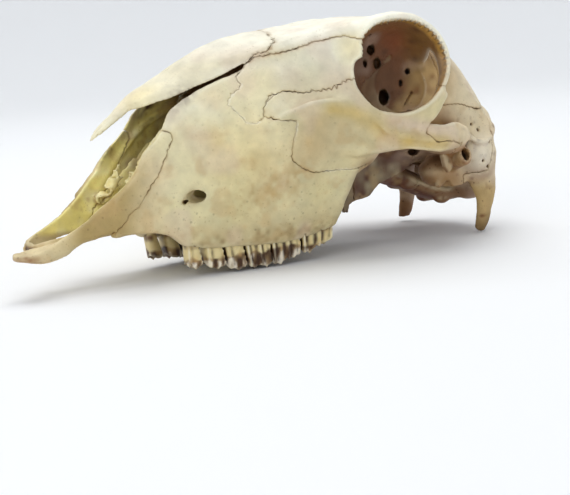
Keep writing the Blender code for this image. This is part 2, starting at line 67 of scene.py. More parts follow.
# Gap between two bones, and the teeth of the seam in the midline
SUTURE_GAP = 0.06
SEAM_TOOTH_LENGTH = 2.7
SEAM_TOOTH_DEPTH = 0.22
SEAM_TEETH_START = 112

# The skull is slightly twisted: with height, its right side sits lower than its left
TWIST = 0.11
TWIST_FLOOR = 10.0
TWIST_HEIGHT = 75.0
TWIST_BLEND = 6.0

# The eye socket: its radius, centre and direction, how far its rim sits back, and its depth and wall
ORBIT_RADIUS = 20.3
ORBIT_CENTRE = np.array((166.0, 50.0, 82.0))
ORBIT_OUTWARD = np.array((-0.344, 0.925, 0.163))
RIM_SETBACK = 1.5
SOCKET_END = 34
COLLAR_WALL = 1.6

# Torn papery bone
SHEET_SPACING = 0.55
SHEET_HALF_THICKNESS = 0.36


class Line:
    """A smooth landmark line through rows of (x, value, ...), without overshoot."""

    def __init__(self, *rows):
        table = np.array(rows, float)
        self.x = table[:, 0]
        self.values = table[:, 1:]
        secant = np.diff(self.values, axis=0) / np.diff(self.x)[:, None]
        product = secant[:-1] * secant[1:]
        total = np.where(product > 0, secant[:-1] + secant[1:], 1.0)
        inner = np.where(product > 0, 2 * product / total, 0.0)
        self.slope = np.vstack([secant[:1], inner, secant[-1:]])

    def __call__(self, x):
        """The values at x, one array for each column."""
        x = np.clip(np.asarray(x, float), self.x[0], self.x[-1])
        i = np.clip(np.searchsorted(self.x, x, side="right") - 1, 0, len(self.x) - 2)
        width = self.x[i + 1] - self.x[i]
        t = (x - self.x[i]) / width
        result = []
        for value, slope in zip(self.values.T, self.slope.T):
            start = (1 + 2 * t) * (1 - t) ** 2 * value[i] + t * (1 - t) ** 2 * width * slope[i]
            end = t * t * (3 - 2 * t) * value[i + 1] - t * t * (1 - t) * width * slope[i + 1]
            result.append((start + end).astype(np.float32))
        return result


# ---------------------------------------------------------------- landmark lines
DORSAL = Line((41, 60), (43, 61.8), (46, 65), (50, 68.6), (54, 72), (58, 75.4), (62, 78), (66, 80.2),
              (70, 82), (75, 84.4), (79, 86.4), (85, 89.6), (92, 92.8), (97, 95), (103, 96.9), (109, 98.4),
              (117, 99.6), (126, 100.4), (145, 102.2), (155, 103.6), (170, 104.6), (190, 102), (205, 96))
NASAL_EDGE = Line((41, 0.8, 59.4), (44, 2.2, 62.4), (47.2, 3.8, 64.8), (51, 4.3, 67), (54, 4.6, 69.2),
                  (57.7, 5.4, 71.6), (61.4, 9, 72.8), (66, 11.5, 74.2), (75, 15, 76.4), (88, 17.5, 80.8),
                  (101, 19, 85.6), (112, 20.5, 89.6), (124, 26, 93.5), (136, 32, 97.5), (147, 37, 100),
                  (160, 42, 101))
UPPER_SIDE = Line((41, 18, 45), (50, 19.5, 48), (60, 20, 53), (75, 21.5, 60), (90, 24.5, 64),
                  (105, 29, 67.5), (118, 34, 70), (130, 38.5, 73), (140, 41, 76), (160, 46, 82))
FACIAL_CREST = Line((41, 18, 30), (50, 19.5, 34), (60, 20, 38), (75, 23, 40), (90, 27.5, 44),
                    (105, 33, 50), (118, 38.5, 60), (130, 43, 66), (142, 46.5, 66.5), (160, 50, 60))
LOWER_SIDE = Line((41, 17.8, 25), (50, 19.3, 27), (60, 19.8, 28), (75, 22.4, 26), (90, 26.8, 28),
                  (105, 31.5, 31), (118, 35, 38), (130, 38, 42), (142, 42, 43.5), (160, 47, 47))
ALVEOLAR = Line((41, 17.2, 21.4), (50, 18.8, 22.2), (58.4, 19.1, 21.6), (63, 19.4, 20.5), (66.5, 19.8, 19),
                (69, 20.1, 16.6), (71.5, 20.4, 14.4), (75, 21, 13.5), (82, 22.8, 12.2), (99, 26.5, 11.4),
                (114, 28.5, 10.6), (124, 29.3, 11.3), (134, 29.8, 13), (142, 29.5, 14.6), (147, 29.5, 22),
                (150, 30, 32), (160, 36, 41))
PALATE_EDGE = Line((41, 9, 21.5), (60, 10, 21.8), (75, 10.5, 18), (99, 14, 15.4), (130, 16, 16),
                   (142, 16.5, 19), (150, 19, 33), (160, 22, 42))
PALATE_MID = Line((41, 22), (60, 23), (80, 21), (110, 20), (130, 21), (142, 24), (150, 35), (160, 44))
MUZZLE = Line((-0.6, 8, 19.4, 17.6), (1.5, 11.4, 20, 16.4), (5, 12.8, 20.4, 15.6), (12.5, 13.4, 22, 13.9),
              (17, 13.5, 24.4, 14), (21, 13.6, 27, 14.6), (25, 13.9, 30, 17), (29, 14.2, 32.5, 18.8),
              (34, 15.4, 35, 20), (40, 17.2, 39, 21.4), (46, 18.8, 43, 21.8), (56, 19.6, 50, 21.6))
BRAINCASE = Line((172, 20, 99, 40), (184, 26, 101, 38), (194, 30.5, 99, 36), (206, 32, 97, 33),
                 (218, 32, 89.6, 30), (230, 29.5, 75.4, 26), (238, 26.5, 63.6, 25), (243, 20, 57, 34))
SOCKET_BLOCK = Line((128, 24, 96, 36), (146, 27, 99, 40), (160, 22, 101, 38), (176, 18.5, 100, 36),
                    (190, 22, 98, 34), (200, 25, 94, 34))
ROOF = Line((118, 20, 90, 5, 5), (138, 33, 97, 5, 2), (150, 39, 100.5, 5, 0.8), (160, 46.5, 103.5, 5.5, 0.4),
            (170, 50, 102.5, 6, 0.4), (178, 51.5, 98.5, 7, 0.4), (184, 49.5, 94, 8, 0.6),
            (189, 43, 93, 8, 1), (197, 31, 90, 9, 2))
NASAL_CAVITY = Line((6, 8, 54, 19.5), (16, 10.6, 54, 19), (26, 10.8, 54, 20), (34, 12, 54, 22.5),
                    (41, 14.2, 57, 24.4), (48, 16, 64, 25), (60, 17.2, 74.5, 26), (75, 19.4, 84, 25),
                    (90, 22.5, 92, 24), (105, 25.4, 96, 24), (118, 26, 97, 26), (130, 24, 95, 30),
                    (140, 18, 88, 36))
NASAL_WALL = Line((41, 3), (56, 2.2), (66, 1.6), (75, 1.5), (95, 2), (112, 3), (125, 4.5), (140, 6))
CHOANA = Line((116, 7.5, 31, 25), (128, 8.5, 33, 20), (145, 9, 36, 12), (168, 9, 38, 10), (180, 7, 37, 12))

PREMAXILLA_TOP = ((-8, 19.4), (2, 19.2), (6, 18.9), (10.3, 19.8), (14.7, 21.3), (20, 24), (26, 26.7),
                  (31, 29.4), (36.6, 33.3), (41, 36.6), (46.3, 41.2), (51.5, 46.2), (54.3, 50.6),
                  (57, 54.6), (62, 58.7), (66, 62.7), (68.7, 66.9), (70, 69.2))
MAXILLA_TOP = ((72.1, 71.2), (77.4, 74.6), (81.6, 76.5), (84.7, 78.2), (89.4, 79.8), (94.2, 81.5),
               (98.9, 82.8), (105.3, 85), (107, 86))
NASAL_UNDERSIDE = ((107, 87.6), (103.2, 86), (97.1, 83.6), (90.5, 81.4), (83.6, 79.2), (76.8, 76.9),
                   (72.6, 75.4), (68.6, 74.4), (65.2, 73.5), (61.4, 72.4), (59.2, 71.8), (57.7, 71),
                   (54.1, 68.6), (50.9, 66.4), (47.2, 64.1), (44.2, 61.8), (42, 60), (36, 56))
NOSE_APERTURE = PREMAXILLA_TOP + MAXILLA_TOP + NASAL_UNDERSIDE + ((36, 96), (-8, 96))


# ---------------------------------------------------------------- distance fields on the grid
AXES = [np.arange(low, high + STEP, STEP, dtype=np.float32) for low, high in zip(GRID_LOW, GRID_HIGH)]


def block(low, high):
    """The part of the grid between two corners, as slices, and its coordinates."""
    cells = []
    for axis, a, b in zip(AXES, low, high):
        start = int(np.clip((a - axis[0]) // STEP, 0, len(axis) - 2))
        stop = int(np.clip((b - axis[0]) // STEP + 2, start + 1, len(axis)))
        cells.append(slice(start, stop))
    x, s, z = (axis[c] for axis, c in zip(AXES, cells))
    return tuple(cells), x[:, None, None], s[None, :, None], z[None, None, :]


def slab(start, end):
    """Everything between two places along the skull, as a block."""
    return block((start, PAST_MIDDLE, PAST_MIDDLE), (end, OUTSIDE, OUTSIDE))


def cell_points(cells):
    """The places of a block's cells."""
    x, s, z = (axis[c] for axis, c in zip(AXES, cells))
    return np.stack(np.meshgrid(x, s, z, indexing="ij"), -1)


def empty_field(value=FAR):
    return np.full([len(axis) for axis in AXES], value, np.float32)


def soft_min(a, b, blend):
    """The smaller of two distances, rounded where they meet."""
    if blend <= 0:
        return np.minimum(a, b)
    h = np.clip(0.5 + 0.5 * (b - a) / blend, 0, 1)
    return b + (a - b) * h - blend * h * (1 - h)


def soft_max(a, b, blend):
    return -soft_min(-a, -b, blend)


def add(field, shape, blend=2.0):
    """Join a shape to a field, with a fillet of about the blend's size."""
    cells, distance = shape
    field[cells] = soft_min(field[cells], distance, blend)


def cut(field, shape, blend=0.8):
    """Cut a shape out of a field, with its edge rounded by about the blend's size."""
    cells, distance = shape
    field[cells] = soft_max(field[cells], -distance, blend)


def round_distance(length, ratio, least=0.005):
    """Distance from a point to an ellipsoid, from its radius and its ratio to the surface's."""
    length = length + 0.01
    return length - length / np.maximum(ratio + least, 0.05)


def spline(points, steps_between):
    """Catmull-Rom curve through points, open at its ends, with steps_between(point, next point) steps."""
    points = np.array(points, float)
    padded = np.vstack([2 * points[0] - points[1], points, 2 * points[-1] - points[-2]])
    result = []
    for a, b, c, d in zip(padded, padded[1:], padded[2:], padded[3:]):
        steps = steps_between(b, c)
        for t in np.arange(steps) / steps:
            result.append(0.5 * (2 * b + (c - a) * t + (2 * a - 5 * b + 4 * c - d) * t * t
                                 + (3 * b - a - 3 * c + d) * t ** 3))
    return result + [points[-1]]


def curve(rows, spacing):
    """Curve through rows that start with x, s, z, with its points about one spacing apart."""
    return np.array(spline(rows, lambda a, b: max(1, round(np.linalg.norm((b - a)[:3]) / spacing))))


def smooth_outline(points, steps=4):
    return spline(points, lambda a, b: steps)


def tube(rows, across=(0, 1, 0), spacing=4.0):
    """Flattened tube along rows of x, s, z, half size along `across`, half size square to it."""
    path = curve(rows, spacing)
    margin = path[:, 3:].max() + REACH
    region, x, s, z = block(path[:, :3].min(0) - margin, path[:, :3].max(0) + margin)
    distance = np.full((x.shape[0], s.shape[1], z.shape[2]), FAR, np.float32)
    across = np.array(across, float)
    for start, end in zip(path, path[1:]):
        size = max(start[3:].max(), end[3:].max())
        low, high = np.minimum(start, end)[:3] - size - REACH, np.maximum(start, end)[:3] + size + REACH
        cells, x, s, z = block(low, high)
        run = (end - start)[:3]
        length = np.linalg.norm(run)
        run = run / length
        u = across - run * (across @ run)
        u = u / np.linalg.norm(u)
        v = np.cross(run, u)
        dx, ds, dz = x - start[0], s - start[1], z - start[2]
        advance = dx * run[0] + ds * run[1] + dz * run[2]
        t = np.clip(advance / length, 0, 1)
        beyond = advance - t * length
        a = start[3] + (end[3] - start[3]) * t
        b = start[4] + (end[4] - start[4]) * t
        pu = dx * u[0] + ds * u[1] + dz * u[2]
        pv = dx * v[0] + ds * v[1] + dz * v[2]
        radius = np.sqrt(pu * pu + pv * pv + beyond * beyond)
        ratio = np.sqrt((pu / a) ** 2 + (pv / b) ** 2 + (beyond / np.minimum(a, b)) ** 2)
        here = tuple(slice(c.start - w.start, c.stop - w.start) for c, w in zip(cells, region))
        distance[here] = np.minimum(distance[here], round_distance(radius, ratio))
    return region, distance


def blob(centre, radii, forward=(1, 0, 0), up=(0, 0, 1)):
    """Ellipsoid, turned so that its first axis points forward and its third one up."""
    forward = np.array(forward, float) / np.linalg.norm(forward)
    side = np.cross(up, forward)
    side = side / np.linalg.norm(side)
    up = np.cross(forward, side)
    margin = max(radii) + REACH
    centre = np.array(centre, float)
    cells, x, s, z = block(centre - margin, centre + margin)
    dx, ds, dz = x - centre[0], s - centre[1], z - centre[2]
    ratio = 0
    for axis, radius in zip((forward, side, up), radii):
        ratio = ratio + ((dx * axis[0] + ds * axis[1] + dz * axis[2]) / radius) ** 2
    length = np.sqrt(dx * dx + ds * ds + dz * dz)
    return cells, round_distance(length, np.sqrt(ratio))


def oval_loft(line, start, end, power=2.0):
    """Upright superellipses along x: half-width, top and bottom from a landmark line."""
    cells, x, s, z = slab(start - REACH, end + REACH)
    half_width, top, bottom = line(x)
    middle, half_height = (top + bottom) / 2, (top - bottom) / 2
    ratio = ((np.abs(s) / half_width) ** power + (np.abs(z - middle) / half_height) ** power) ** (1 / power)
    distance = round_distance(np.sqrt(s * s + (z - middle) ** 2), ratio, 0.001)
    return cells, soft_max(soft_max(distance, start - x, 2), x - end, 2)


def polygon(a, b, outline):
    """Signed distance in a plane to a closed outline, negative inside."""
    points = np.array(outline, np.float32)
    nearest = np.full(np.broadcast(a, b).shape, 1e6, np.float32)
    inside = np.zeros(nearest.shape, bool)
    for p, q in zip(points, np.roll(points, -1, 0)):
        edge = q - p
        u, v = a - p[0], b - p[1]
        t = np.clip((u * edge[0] + v * edge[1]) / max(float(edge @ edge), 1e-9), 0, 1)
        gap = (u - t * edge[0]) ** 2 + (v - t * edge[1]) ** 2
        np.minimum(nearest, gap, out=nearest)
        if p[1] != q[1]:
            inside ^= ((b >= p[1]) != (b >= q[1])) & (a < p[0] + (b - p[1]) * edge[0] / edge[1])
    return np.where(inside, -1, 1) * np.sqrt(nearest)


def section_loft(half_ring, start, end):
    """Loft through half outlines of (s, z) from the top of the midline round to its bottom."""
    cells, x, s, z = slab(start - 1, end + REACH)
    distance = np.empty((x.shape[0], s.shape[1], z.shape[2]), np.float32)
    for i, here in enumerate(x.ravel()):
        half = half_ring(min(max(here, start), end))
        mirrored = [(-half[1][0], half[1][1])] + half + [(-half[-2][0], half[-2][1])]
        distance[i] = polygon(s[0], z[0], smooth_outline(mirrored))
    return cells, soft_max(soft_max(distance, start - x, 1), x - end, 3)


def plate(outline, inner, outer, blend=0.6, rounded=True):
    """Side-view outline of (x, z) points between two distances from the midline."""
    points = np.array(outline, float)
    low, high = points.min(0) - REACH, points.max(0) + REACH
    cells, x, s, z = block((low[0], inner - REACH, low[1]), (high[0], outer + REACH, high[1]))
    flat = polygon(x[:, 0], z[0], smooth_outline(outline) if rounded else outline)[:, None, :]
    return cells, soft_max(soft_max(flat, inner - s, blend), s - outer, blend)


def column(outline, bottom, top, blend=1.0):
    """Plan outline of (x, s) points between two heights."""
    points = np.array(outline, float)
    low, high = points.min(0) - REACH, points.max(0) + REACH
    cells, x, s, z = block((*low, bottom - REACH), (*high, top + REACH))
    flat = polygon(x[:, :, 0], s[:, :, 0], smooth_outline(outline))[:, :, None]
    return cells, soft_max(flat, np.abs(z - (bottom + top) / 2) - (top - bottom) / 2, blend)


# ---------------------------------------------------------------- the mass of bone
def face_ring(x):
    """Half outline across the face at x: roof, side, tooth socket edge and palate."""
    edge, upper, crest, lower, alveolar, palate = (tuple(float(v) for v in line(x)) for line in (
        NASAL_EDGE, UPPER_SIDE, FACIAL_CREST, LOWER_SIDE, ALVEOLAR, PALATE_EDGE))
    top, floor = float(DORSAL(x)[0]), float(PALATE_MID(x)[0])
    arch = (edge[0] * 0.62, top * 0.62 + edge[1] * 0.38)
    return [(0, top), arch, edge, upper, crest, lower, alveolar, palate, (0, floor)]


def roof_ring(x):
    """Half outline at x across the roof over the sockets."""
    half_width, edge, thick, fall = (float(v) for v in ROOF(x))
    top = float(DORSAL(x)[0]) - 0.4
    shoulder = (top - fall + 2 * edge) / 3 + 0.6
    return [(0, top), (half_width * 0.45, top - fall), (half_width * 0.8, shoulder), (half_width, edge - 1),
            (half_width - 1.5, edge - thick), (half_width * 0.6, edge - thick - 1), (0, edge - thick - 1)]


def orbit_axes():
    """Directions of the socket's own frame: backwards, upwards and outwards of its rim plane."""
    outward = ORBIT_OUTWARD / np.linalg.norm(ORBIT_OUTWARD)
    back = np.array((outward[1], -outward[0], 0.0))
    back = back / np.linalg.norm(back)
    return back, np.cross(back, outward), outward


def orbit_coordinates(margin):
    """A block round the socket, with the distances backwards, upwards and outwards of its rim plane."""
    cells, x, s, z = block(ORBIT_CENTRE - margin, ORBIT_CENTRE + margin)
    dx, ds, dz = (p - c for p, c in zip((x, s, z), ORBIT_CENTRE))
    return [cells] + [dx * axis[0] + ds * axis[1] + dz * axis[2] for axis in orbit_axes()]


def orbit_angle(back, up):
    """Angle round the rim in degrees: 0 is the rear, 90 the top, 180 the front."""
    return np.degrees(np.arctan2(up, back))


def orbit_rim():
    """Thin ring of bone round the socket's opening."""
    cells, back, up, out = orbit_coordinates(38)
    angle = orbit_angle(back, up)
    thick = RIM_THICKNESS(angle)[0]
    radial = np.sqrt(back * back + up * up) - APERTURE(angle)[0] - thick
    axial = out + RIM_SETBACK
    ratio = np.sqrt((radial / thick) ** 2 + (axial / (1.2 + 1.2 * thick)) ** 2)
    return cells, round_distance(np.sqrt(radial ** 2 + axial ** 2), ratio)


# Radius of the rim's opening against the angle round it, with the tear notch in front
APERTURE = Line((-180, 20.2), (-157, 20.9), (-138, 21.2), (-123, 21), (-102, 19.6), (-78, 19.4),
                (-56, 19.7), (-33, 20.3), (-11, 21.3), (4, 21.8), (20, 21.9), (36, 21.9), (49, 21.6),
                (64, 21.2), (79, 20.1), (98, 19.6), (117, 20.5), (129, 20.2), (143, 19), (153, 16.6),
                (160, 16.3), (167, 18.4), (173, 19.6), (180, 20.2))
RIM_THICKNESS = Line((-180, 0.9), (-140, 0.9), (-100, 0.9), (-60, 0.8), (-20, 0.75), (20, 0.85), (40, 1.0),
                     (60, 1.3), (80, 1.9), (95, 2.2), (115, 1.7), (140, 0.9), (180, 0.9))
RIM_TEETH = Line((-180, 0.1), (-100, 0.05), (-20, 0.15), (20, 0.45), (60, 0.6), (110, 0.7), (155, 0.6),
                 (165, 0.1), (180, 0.1))
SOCKET_DEPTH = Line((-9, 25, 0, 0), (0, ORBIT_RADIUS, 0, 0), (8, 20.6, 0.5, 0), (16, 19.5, 2, 1),
                    (24, 16.5, 5, 3), (30, 12, 9, 6), (34, 6, 12, 9))
COLLAR_DEPTH = Line((-180, 30), (-140, 24), (-115, 12), (-90, 8), (-50, 8.5), (-10, 11), (20, 14), (45, 22),
                    (65, 30), (180, 30))


def rim_notches(angle):
    """Uneven saw teeth round the rim."""
    return zigzag(angle / 6.2) + 0.6 * zigzag(angle / 3.7 + 0.3)


def orbit_space():
    """The socket's hollow, from outside the rim to the optic apex."""
    cells, back, up, out = orbit_coordinates(46)
    radius, rearward, drop = SOCKET_DEPTH(-out)
    angle = orbit_angle(back, up)
    teeth = RIM_TEETH(angle)[0] * rim_notches(angle)
    lip = np.clip(1 - np.abs(out + RIM_SETBACK) / 5, 0, 1)
    radius = radius + (APERTURE(angle)[0] - ORBIT_RADIUS - teeth) * lip
    distance = np.sqrt((back - rearward) ** 2 + (up + drop) ** 2) - radius
    return cells, soft_max(soft_max(distance, -out - SOCKET_END, 4), out - 9, 0)


def orbit_collar():
    """Thin wall round the socket, which at the back is the bar behind the eye."""
    cells, back, up, out = orbit_coordinates(46)
    radius, rearward, drop = SOCKET_DEPTH(-out)
    angle = orbit_angle(back, up)
    radius = radius + (APERTURE(angle)[0] - ORBIT_RADIUS) * np.clip(1 + out / 12, 0, 1)
    distance = np.sqrt((back - rearward) ** 2 + (up + drop) ** 2) - radius - COLLAR_WALL
    return cells, soft_max(soft_max(distance, -out - COLLAR_DEPTH(angle)[0], 2.5), out - 0.5, 1.5)


def along(rows, half_across, half_other, across=(0, 1, 0)):
    """Tube of one size along a path of x, s, z points."""
    return tube([tuple(row) + (half_across, half_other) for row in rows], across)


def cheek(field):
    """Zygomatic arch, the ridge that the jaw muscle pulled on, and the hollows beside it."""
    arch = ((138, 40, 56, 4, 9), (150, 45.5, 54.5, 4, 8.6), (160, 49, 53.5, 3.2, 7.2),
            (170, 51.3, 52.3, 2.4, 5.2), (180, 52.7, 50.6, 2.2, 4.6), (190, 52.3, 49.4, 2.2, 4.2),
            (198, 50, 49.6, 2.4, 4.4), (203, 46.5, 49, 3, 4.4), (208, 40, 47, 4, 3.8), (211, 32, 46, 6, 4))
    root = ((158, 49.5, 60, 2.6, 4), (168, 52, 60, 2.2, 3.4), (177, 54, 61, 2, 4.4), (184, 55.5, 70, 1.8, 4))
    add(field, tube(arch), 3)
    add(field, tube(root), 3)
    under_ridge = ((116, 44, 56), (124, 46.8, 57.5), (134, 49.9, 57), (144, 52.3, 55.5), (150, 54, 53))
    cut(field, along(under_ridge, 7.4, 7.4), 3)
    tear_hollow = ((112, 37.5, 77), (124, 43, 82), (136, 47, 86.5), (144, 50, 89))
    cut(field, along(tear_hollow, 8, 8), 4)
    ridge = ((112, 33.5, 62), (118, 37, 66.2), (127, 41.2, 69.6), (135, 44, 69.6), (144, 46.3, 67.5),
             (149, 48, 64), (153.5, 49.8, 60), (157, 51.4, 55.8), (162, 52.6, 53), (169, 53.8, 51.6),
             (177, 54.6, 50), (186, 54.4, 48.4), (194, 52.6, 47.2), (200, 49.4, 46.4))
    add(field, along(ridge, 0.9, 1.2), 2.4)
    lower_edge = ((145, 44, 46.4), (154, 48, 47.6), (163, 51.4, 48), (171, 53, 47), (178, 53.6, 45.6),
                  (184, 53.4, 44.6), (191, 52, 44.8), (197, 49.6, 45))
    add(field, along(lower_edge, 1.0, 0.9), 1.6)
    upper_edge = ((176, 53, 56), (182, 52.6, 55.2), (188, 52, 54.3), (193, 51, 54.8), (198, 48.4, 54.6),
                  (203, 44.5, 53.4), (206, 40, 51.6))
    add(field, along(upper_edge, 1.2, 0.8), 1.6)
    hollow_above = ((176, 58.6, 53.4), (183, 59, 52), (190, 58, 51.2))
    cut(field, along(hollow_above, 4.3, 2.4), 1.2)


def jaw_joint(field):
    """Joint surface for the lower jaw, and the stop behind it."""
    add(field, blob((200, 37, 43.6), (8, 10.5, 3.6)), 3)
    add(field, blob((203.4, 35.5, 43), (2, 4.6, 5.2)), 1.6)
    cut(field, blob((198, 39, 36), (7, 12, 4.6)), 1.5)


def ear(field):
    """Ear canal, bulla and its sharp ridges, and the mastoid part."""
    add(field, blob((209, 22, 31), (11, 7.5, 7.5)), 2)
    muscle_ridge = ((210, 28, 38), (208.5, 28.6, 33), (206, 28, 28), (204, 26.8, 24.6))
    add(field, along(muscle_ridge, 0.9, 1.6), 1.4)
    wedge = ((199.5, 40), (201, 34), (203.2, 31), (206.2, 34.6), (209, 40))
    add(field, plate(wedge, 33.5, 36.5, rounded=False), 1)
    cup = ((207, 29), (211, 23.4), (217, 23.8), (222, 26), (223, 34), (212, 36))
    add(field, plate(cup, 22, 29.5, rounded=False), 1.6)
    add(field, blob((227, 28.2, 38), (10, 7, 14)), 3)
    crest = ((208, 37.5, 50.5), (213, 35.5, 50), (217, 35, 46.5), (221, 35, 44), (227, 35, 43.4),
             (232, 33, 46), (235.5, 29, 49))
    add(field, along(crest, 1.5, 1.1), 2)
    cut(field, along(((201.2, 44, 43.6), (200.6, 41.6, 40), (200.8, 40, 35.4)), 1.4, 1.8), 0.8)
    behind_tube = ((205.6, 44.6, 45.4), (209.6, 42.4, 45), (211, 41.4, 41), (210.4, 40.6, 36))
    cut(field, along(behind_tube, 1.7, 2), 0.8)
    add(field, along(((212, 24, 33), (209, 34, 36.4), (205.4, 44.4, 39.4)), 3.4, 4.3, (1, 0, 0)), 0.5)
    cut(field, along(((203.4, 49, 41.2), (205.8, 43.6, 39.2), (210, 33, 36.6)), 1.7, 2.9, (1, 0, 0)), 0.3)
    temporal_line = ((233.4, 26.6, 50), (230.8, 29.6, 55), (227, 30.6, 60), (221, 30.3, 66))
    add(field, along(temporal_line, 1.2, 1.0), 2)


def hind_parts(field):
    """Jugular process, condyles, crest of the nape and the bones of the skull's base."""
    add(field, tube(((230, 27, 38, 5, 9), (229, 28.5, 28, 3.6, 8.4), (230.6, 29, 20, 2.8, 6.5),
                     (230, 29, 13, 2.4, 4.5), (228.6, 29, 6.5, 2.2, 3.9), (227, 29, 2.6, 2, 2.9))), 2.5)
    add(field, blob((235, 12.6, 25.5), (11, 8.8, 11.8)), 2.5)
    base = ((238, 0, 20, 13, 6.5), (226, 0, 19, 12, 6), (214, 0, 22, 10.5, 5), (202, 0, 27, 9, 5),
            (184, 0, 34, 8.5, 6), (166, 0, 41, 8, 7))
    add(field, tube(base), 3)
    add(field, blob((223, 6.5, 15.5), (4.5, 3.4, 3)), 2)
    add(field, blob((204, 5.5, 23.5), (4.5, 2.6, 2.4)), 2)
    add(field, tube(((231.5, 27, 47, 5, 7), (238.5, 17, 54.5, 4, 4), (241, 0, 57, 3.5, 4)), (1, 0, 0)), 3)
    nape_edge = ((234.5, 27.5, 46), (238, 23.5, 52), (242, 14, 57.6), (244.4, 5, 59.4), (244.8, 0, 59.4))
    add(field, along(nape_edge, 1.2, 1.4), 2)
    add(field, along(((244, 0, 58), (243.6, 0, 50), (242, 0, 44)), 1.2, 1.6), 2.5)
    cut(field, blob((250, 13, 50), (9, 8, 5)), 3)
    cut(field, blob((248, 25, 38), (9, 5, 8)), 3)


# Plate behind the palate, with its torn lower edge
PTERYGOID = ((122, 18), (128, 17), (143, 19), (152, 21), (156.4, 19.6), (158, 17.6), (159.4, 19),
             (160.6, 15.4), (161.4, 17.4), (162.2, 15.8), (163.4, 19.6), (167, 21), (171, 21.4),
             (175, 22.2), (178, 24.8), (181, 27), (186, 28.6), (192, 30), (198, 33), (203, 36),
             (203, 44), (176, 46), (150, 48), (132, 44), (122, 30))


def bone_mass(face):
    """All the bones as one solid, before it is hollowed out."""
    field = empty_field()
    add(field, face, 0)
    add(field, oval_loft(MUZZLE, -0.6, 56, 3.6), 1)
    add(field, oval_loft(SOCKET_BLOCK, 128, 200, 2.4), 3)
    add(field, section_loft(roof_ring, 118, 197), 2)
    add(field, oval_loft(BRAINCASE, 172, 243, 2.2), 4)
    add(field, orbit_rim(), 3)
    add(field, orbit_collar(), 1)
    cheek(field)
    jaw_joint(field)
    ear(field)
    hind_parts(field)
    add(field, plate(PTERYGOID, 10.4, 12.8, rounded=False), 1.5)
    return field


# Where the muzzle's sections end and the face's begin to hold
MUZZLE_END = 44.5


def nasal_cavity(face):
    """The nose's hollow: its own sections, and behind the muzzle also the inside of the face's wall."""
    cells, distance = face
    field = empty_field()
    wall = NASAL_WALL(AXES[0][cells[0]])[0][:, None, None]
    field[cells] = distance + wall
    muzzle_cells, muzzle = oval_loft(NASAL_CAVITY, 6, 140, 2.8)
    inside = np.full_like(field, FAR)
    inside[muzzle_cells] = muzzle
    front = AXES[0][:, None, None] < MUZZLE_END
    return soft_max(np.where(front, inside, field), inside, 1)


def crumpled(region, cell, seed):
    """Torn papery bone: thin sheets that fold through a region."""
    cells, distance = region
    sheet = np.abs(noise(cell_points(cells), cell, seed)) * cell * SHEET_SPACING - SHEET_HALF_THICKNESS
    return cells, soft_max(distance, sheet, 0.2)


# Plan outlines of x, s
PALATINE_FISSURE = ((17, 4.6), (15, 8), (18, 11.2), (30, 11.8), (44, 12), (52, 9), (54, 5.4), (34, 4.9),
                    (17, 4.6))
IN_FRONT_OF_PRONG = ((-9, -5), (5, -5), (3.6, 1), (2.1, 3), (0.9, 6), (-0.3, 8.4), (0.3, 10.2), (2.4, 12),
                     (8, 13.7), (9, 20), (-9, 20), (-9, -5))
# Paths of the nose's rolled sheets and of its torn folds, and the half-widths of the sheets
SCROLLS = ((((60, 15.6, 36), (68, 15, 43), (76, 15.6, 50), (86, 17, 56), (98, 19, 60)), 4.6),
           (((64, 14.6, 32), (74, 14, 37), (86, 15, 43), (98, 16, 48)), 3))
NOSE_FOLDS = ((50, 16.5, 33), (52, 11, 36), (56, 7, 43), (59, 7, 47))
# Spongy remains on the inner wall of the left side of the nose
REMAINS = ((58, 13.2, 50), (64, 13.8, 57), (71, 15, 64))


def nasal_openings(field, face):
    """The nose: its opening, its hollow, the way out behind the palate, and the thin bone inside it."""
    cut(field, plate(NOSE_APERTURE, -3, 70, rounded=False), 0.8)
    everything = (slice(None),) * 3
    cut(field, (everything, nasal_cavity(face)), 0.7)
    cut(field, oval_loft(CHOANA, 116, 180, 3), 1)
    cut(field, plate(((-8, 12), (-8, 24), (7, 24), (12, 22), (12, 12)), -3, 1.2))
    cut(field, column(PALATINE_FISSURE, 8, 34))
    cut(field, column(IN_FRONT_OF_PRONG, -9, 60), 1.2)
    add(field, tube(((11, 3.2, 18.4, 1.9, 1.5), (25, 3.2, 20.3, 1.8, 1.3), (40, 3, 21.4, 1.8, 1.2),
                     (56, 3.2, 22.4, 1.9, 1.3))), 0.8)
    for rows, half_width in SCROLLS:
        cells, distance = along(rows, half_width, 0.9, (0, 0, 1))
        places = cell_points(cells)
        ragged = 1.3 * noise(places, 3.4, 91) + 0.5 * noise(places, 1.6, 92)
        add(field, (cells, distance + np.maximum(ragged, -0.3)), 0.6)
    add(field, crumpled(along(NOSE_FOLDS, 2.4, 2.8), 3.4, 93), 0.3)
    ledge = ((52, 17.3, 38), (60, 18.2, 47), (68, 18.4, 56), (76, 18.6, 63), (88, 19.6, 69), (102, 22, 74))
    add(field, along(ledge, 1.6, 1.5, (0, 0, 1)), 1.2)


# Direction in which the socket's foramina run
INWARD = np.array((0.55, -0.82, -0.12))
# Foramina as x, s, z at the surface, half-width, half-height, depth
ORBIT_FORAMINA = ((172, 22, 89, 1.9, 2.2, 6), (169.4, 21, 83, 1.0, 1.7, 4),
                  (175.4, 22, 83, 1.5, 2.4, 4), (179, 21, 67.4, 2.2, 3.6, 9),
                  (192, 22.5, 78, 1.1, 1.4, 3), (188.6, 21.5, 73, 0.8, 1.6, 2.5))


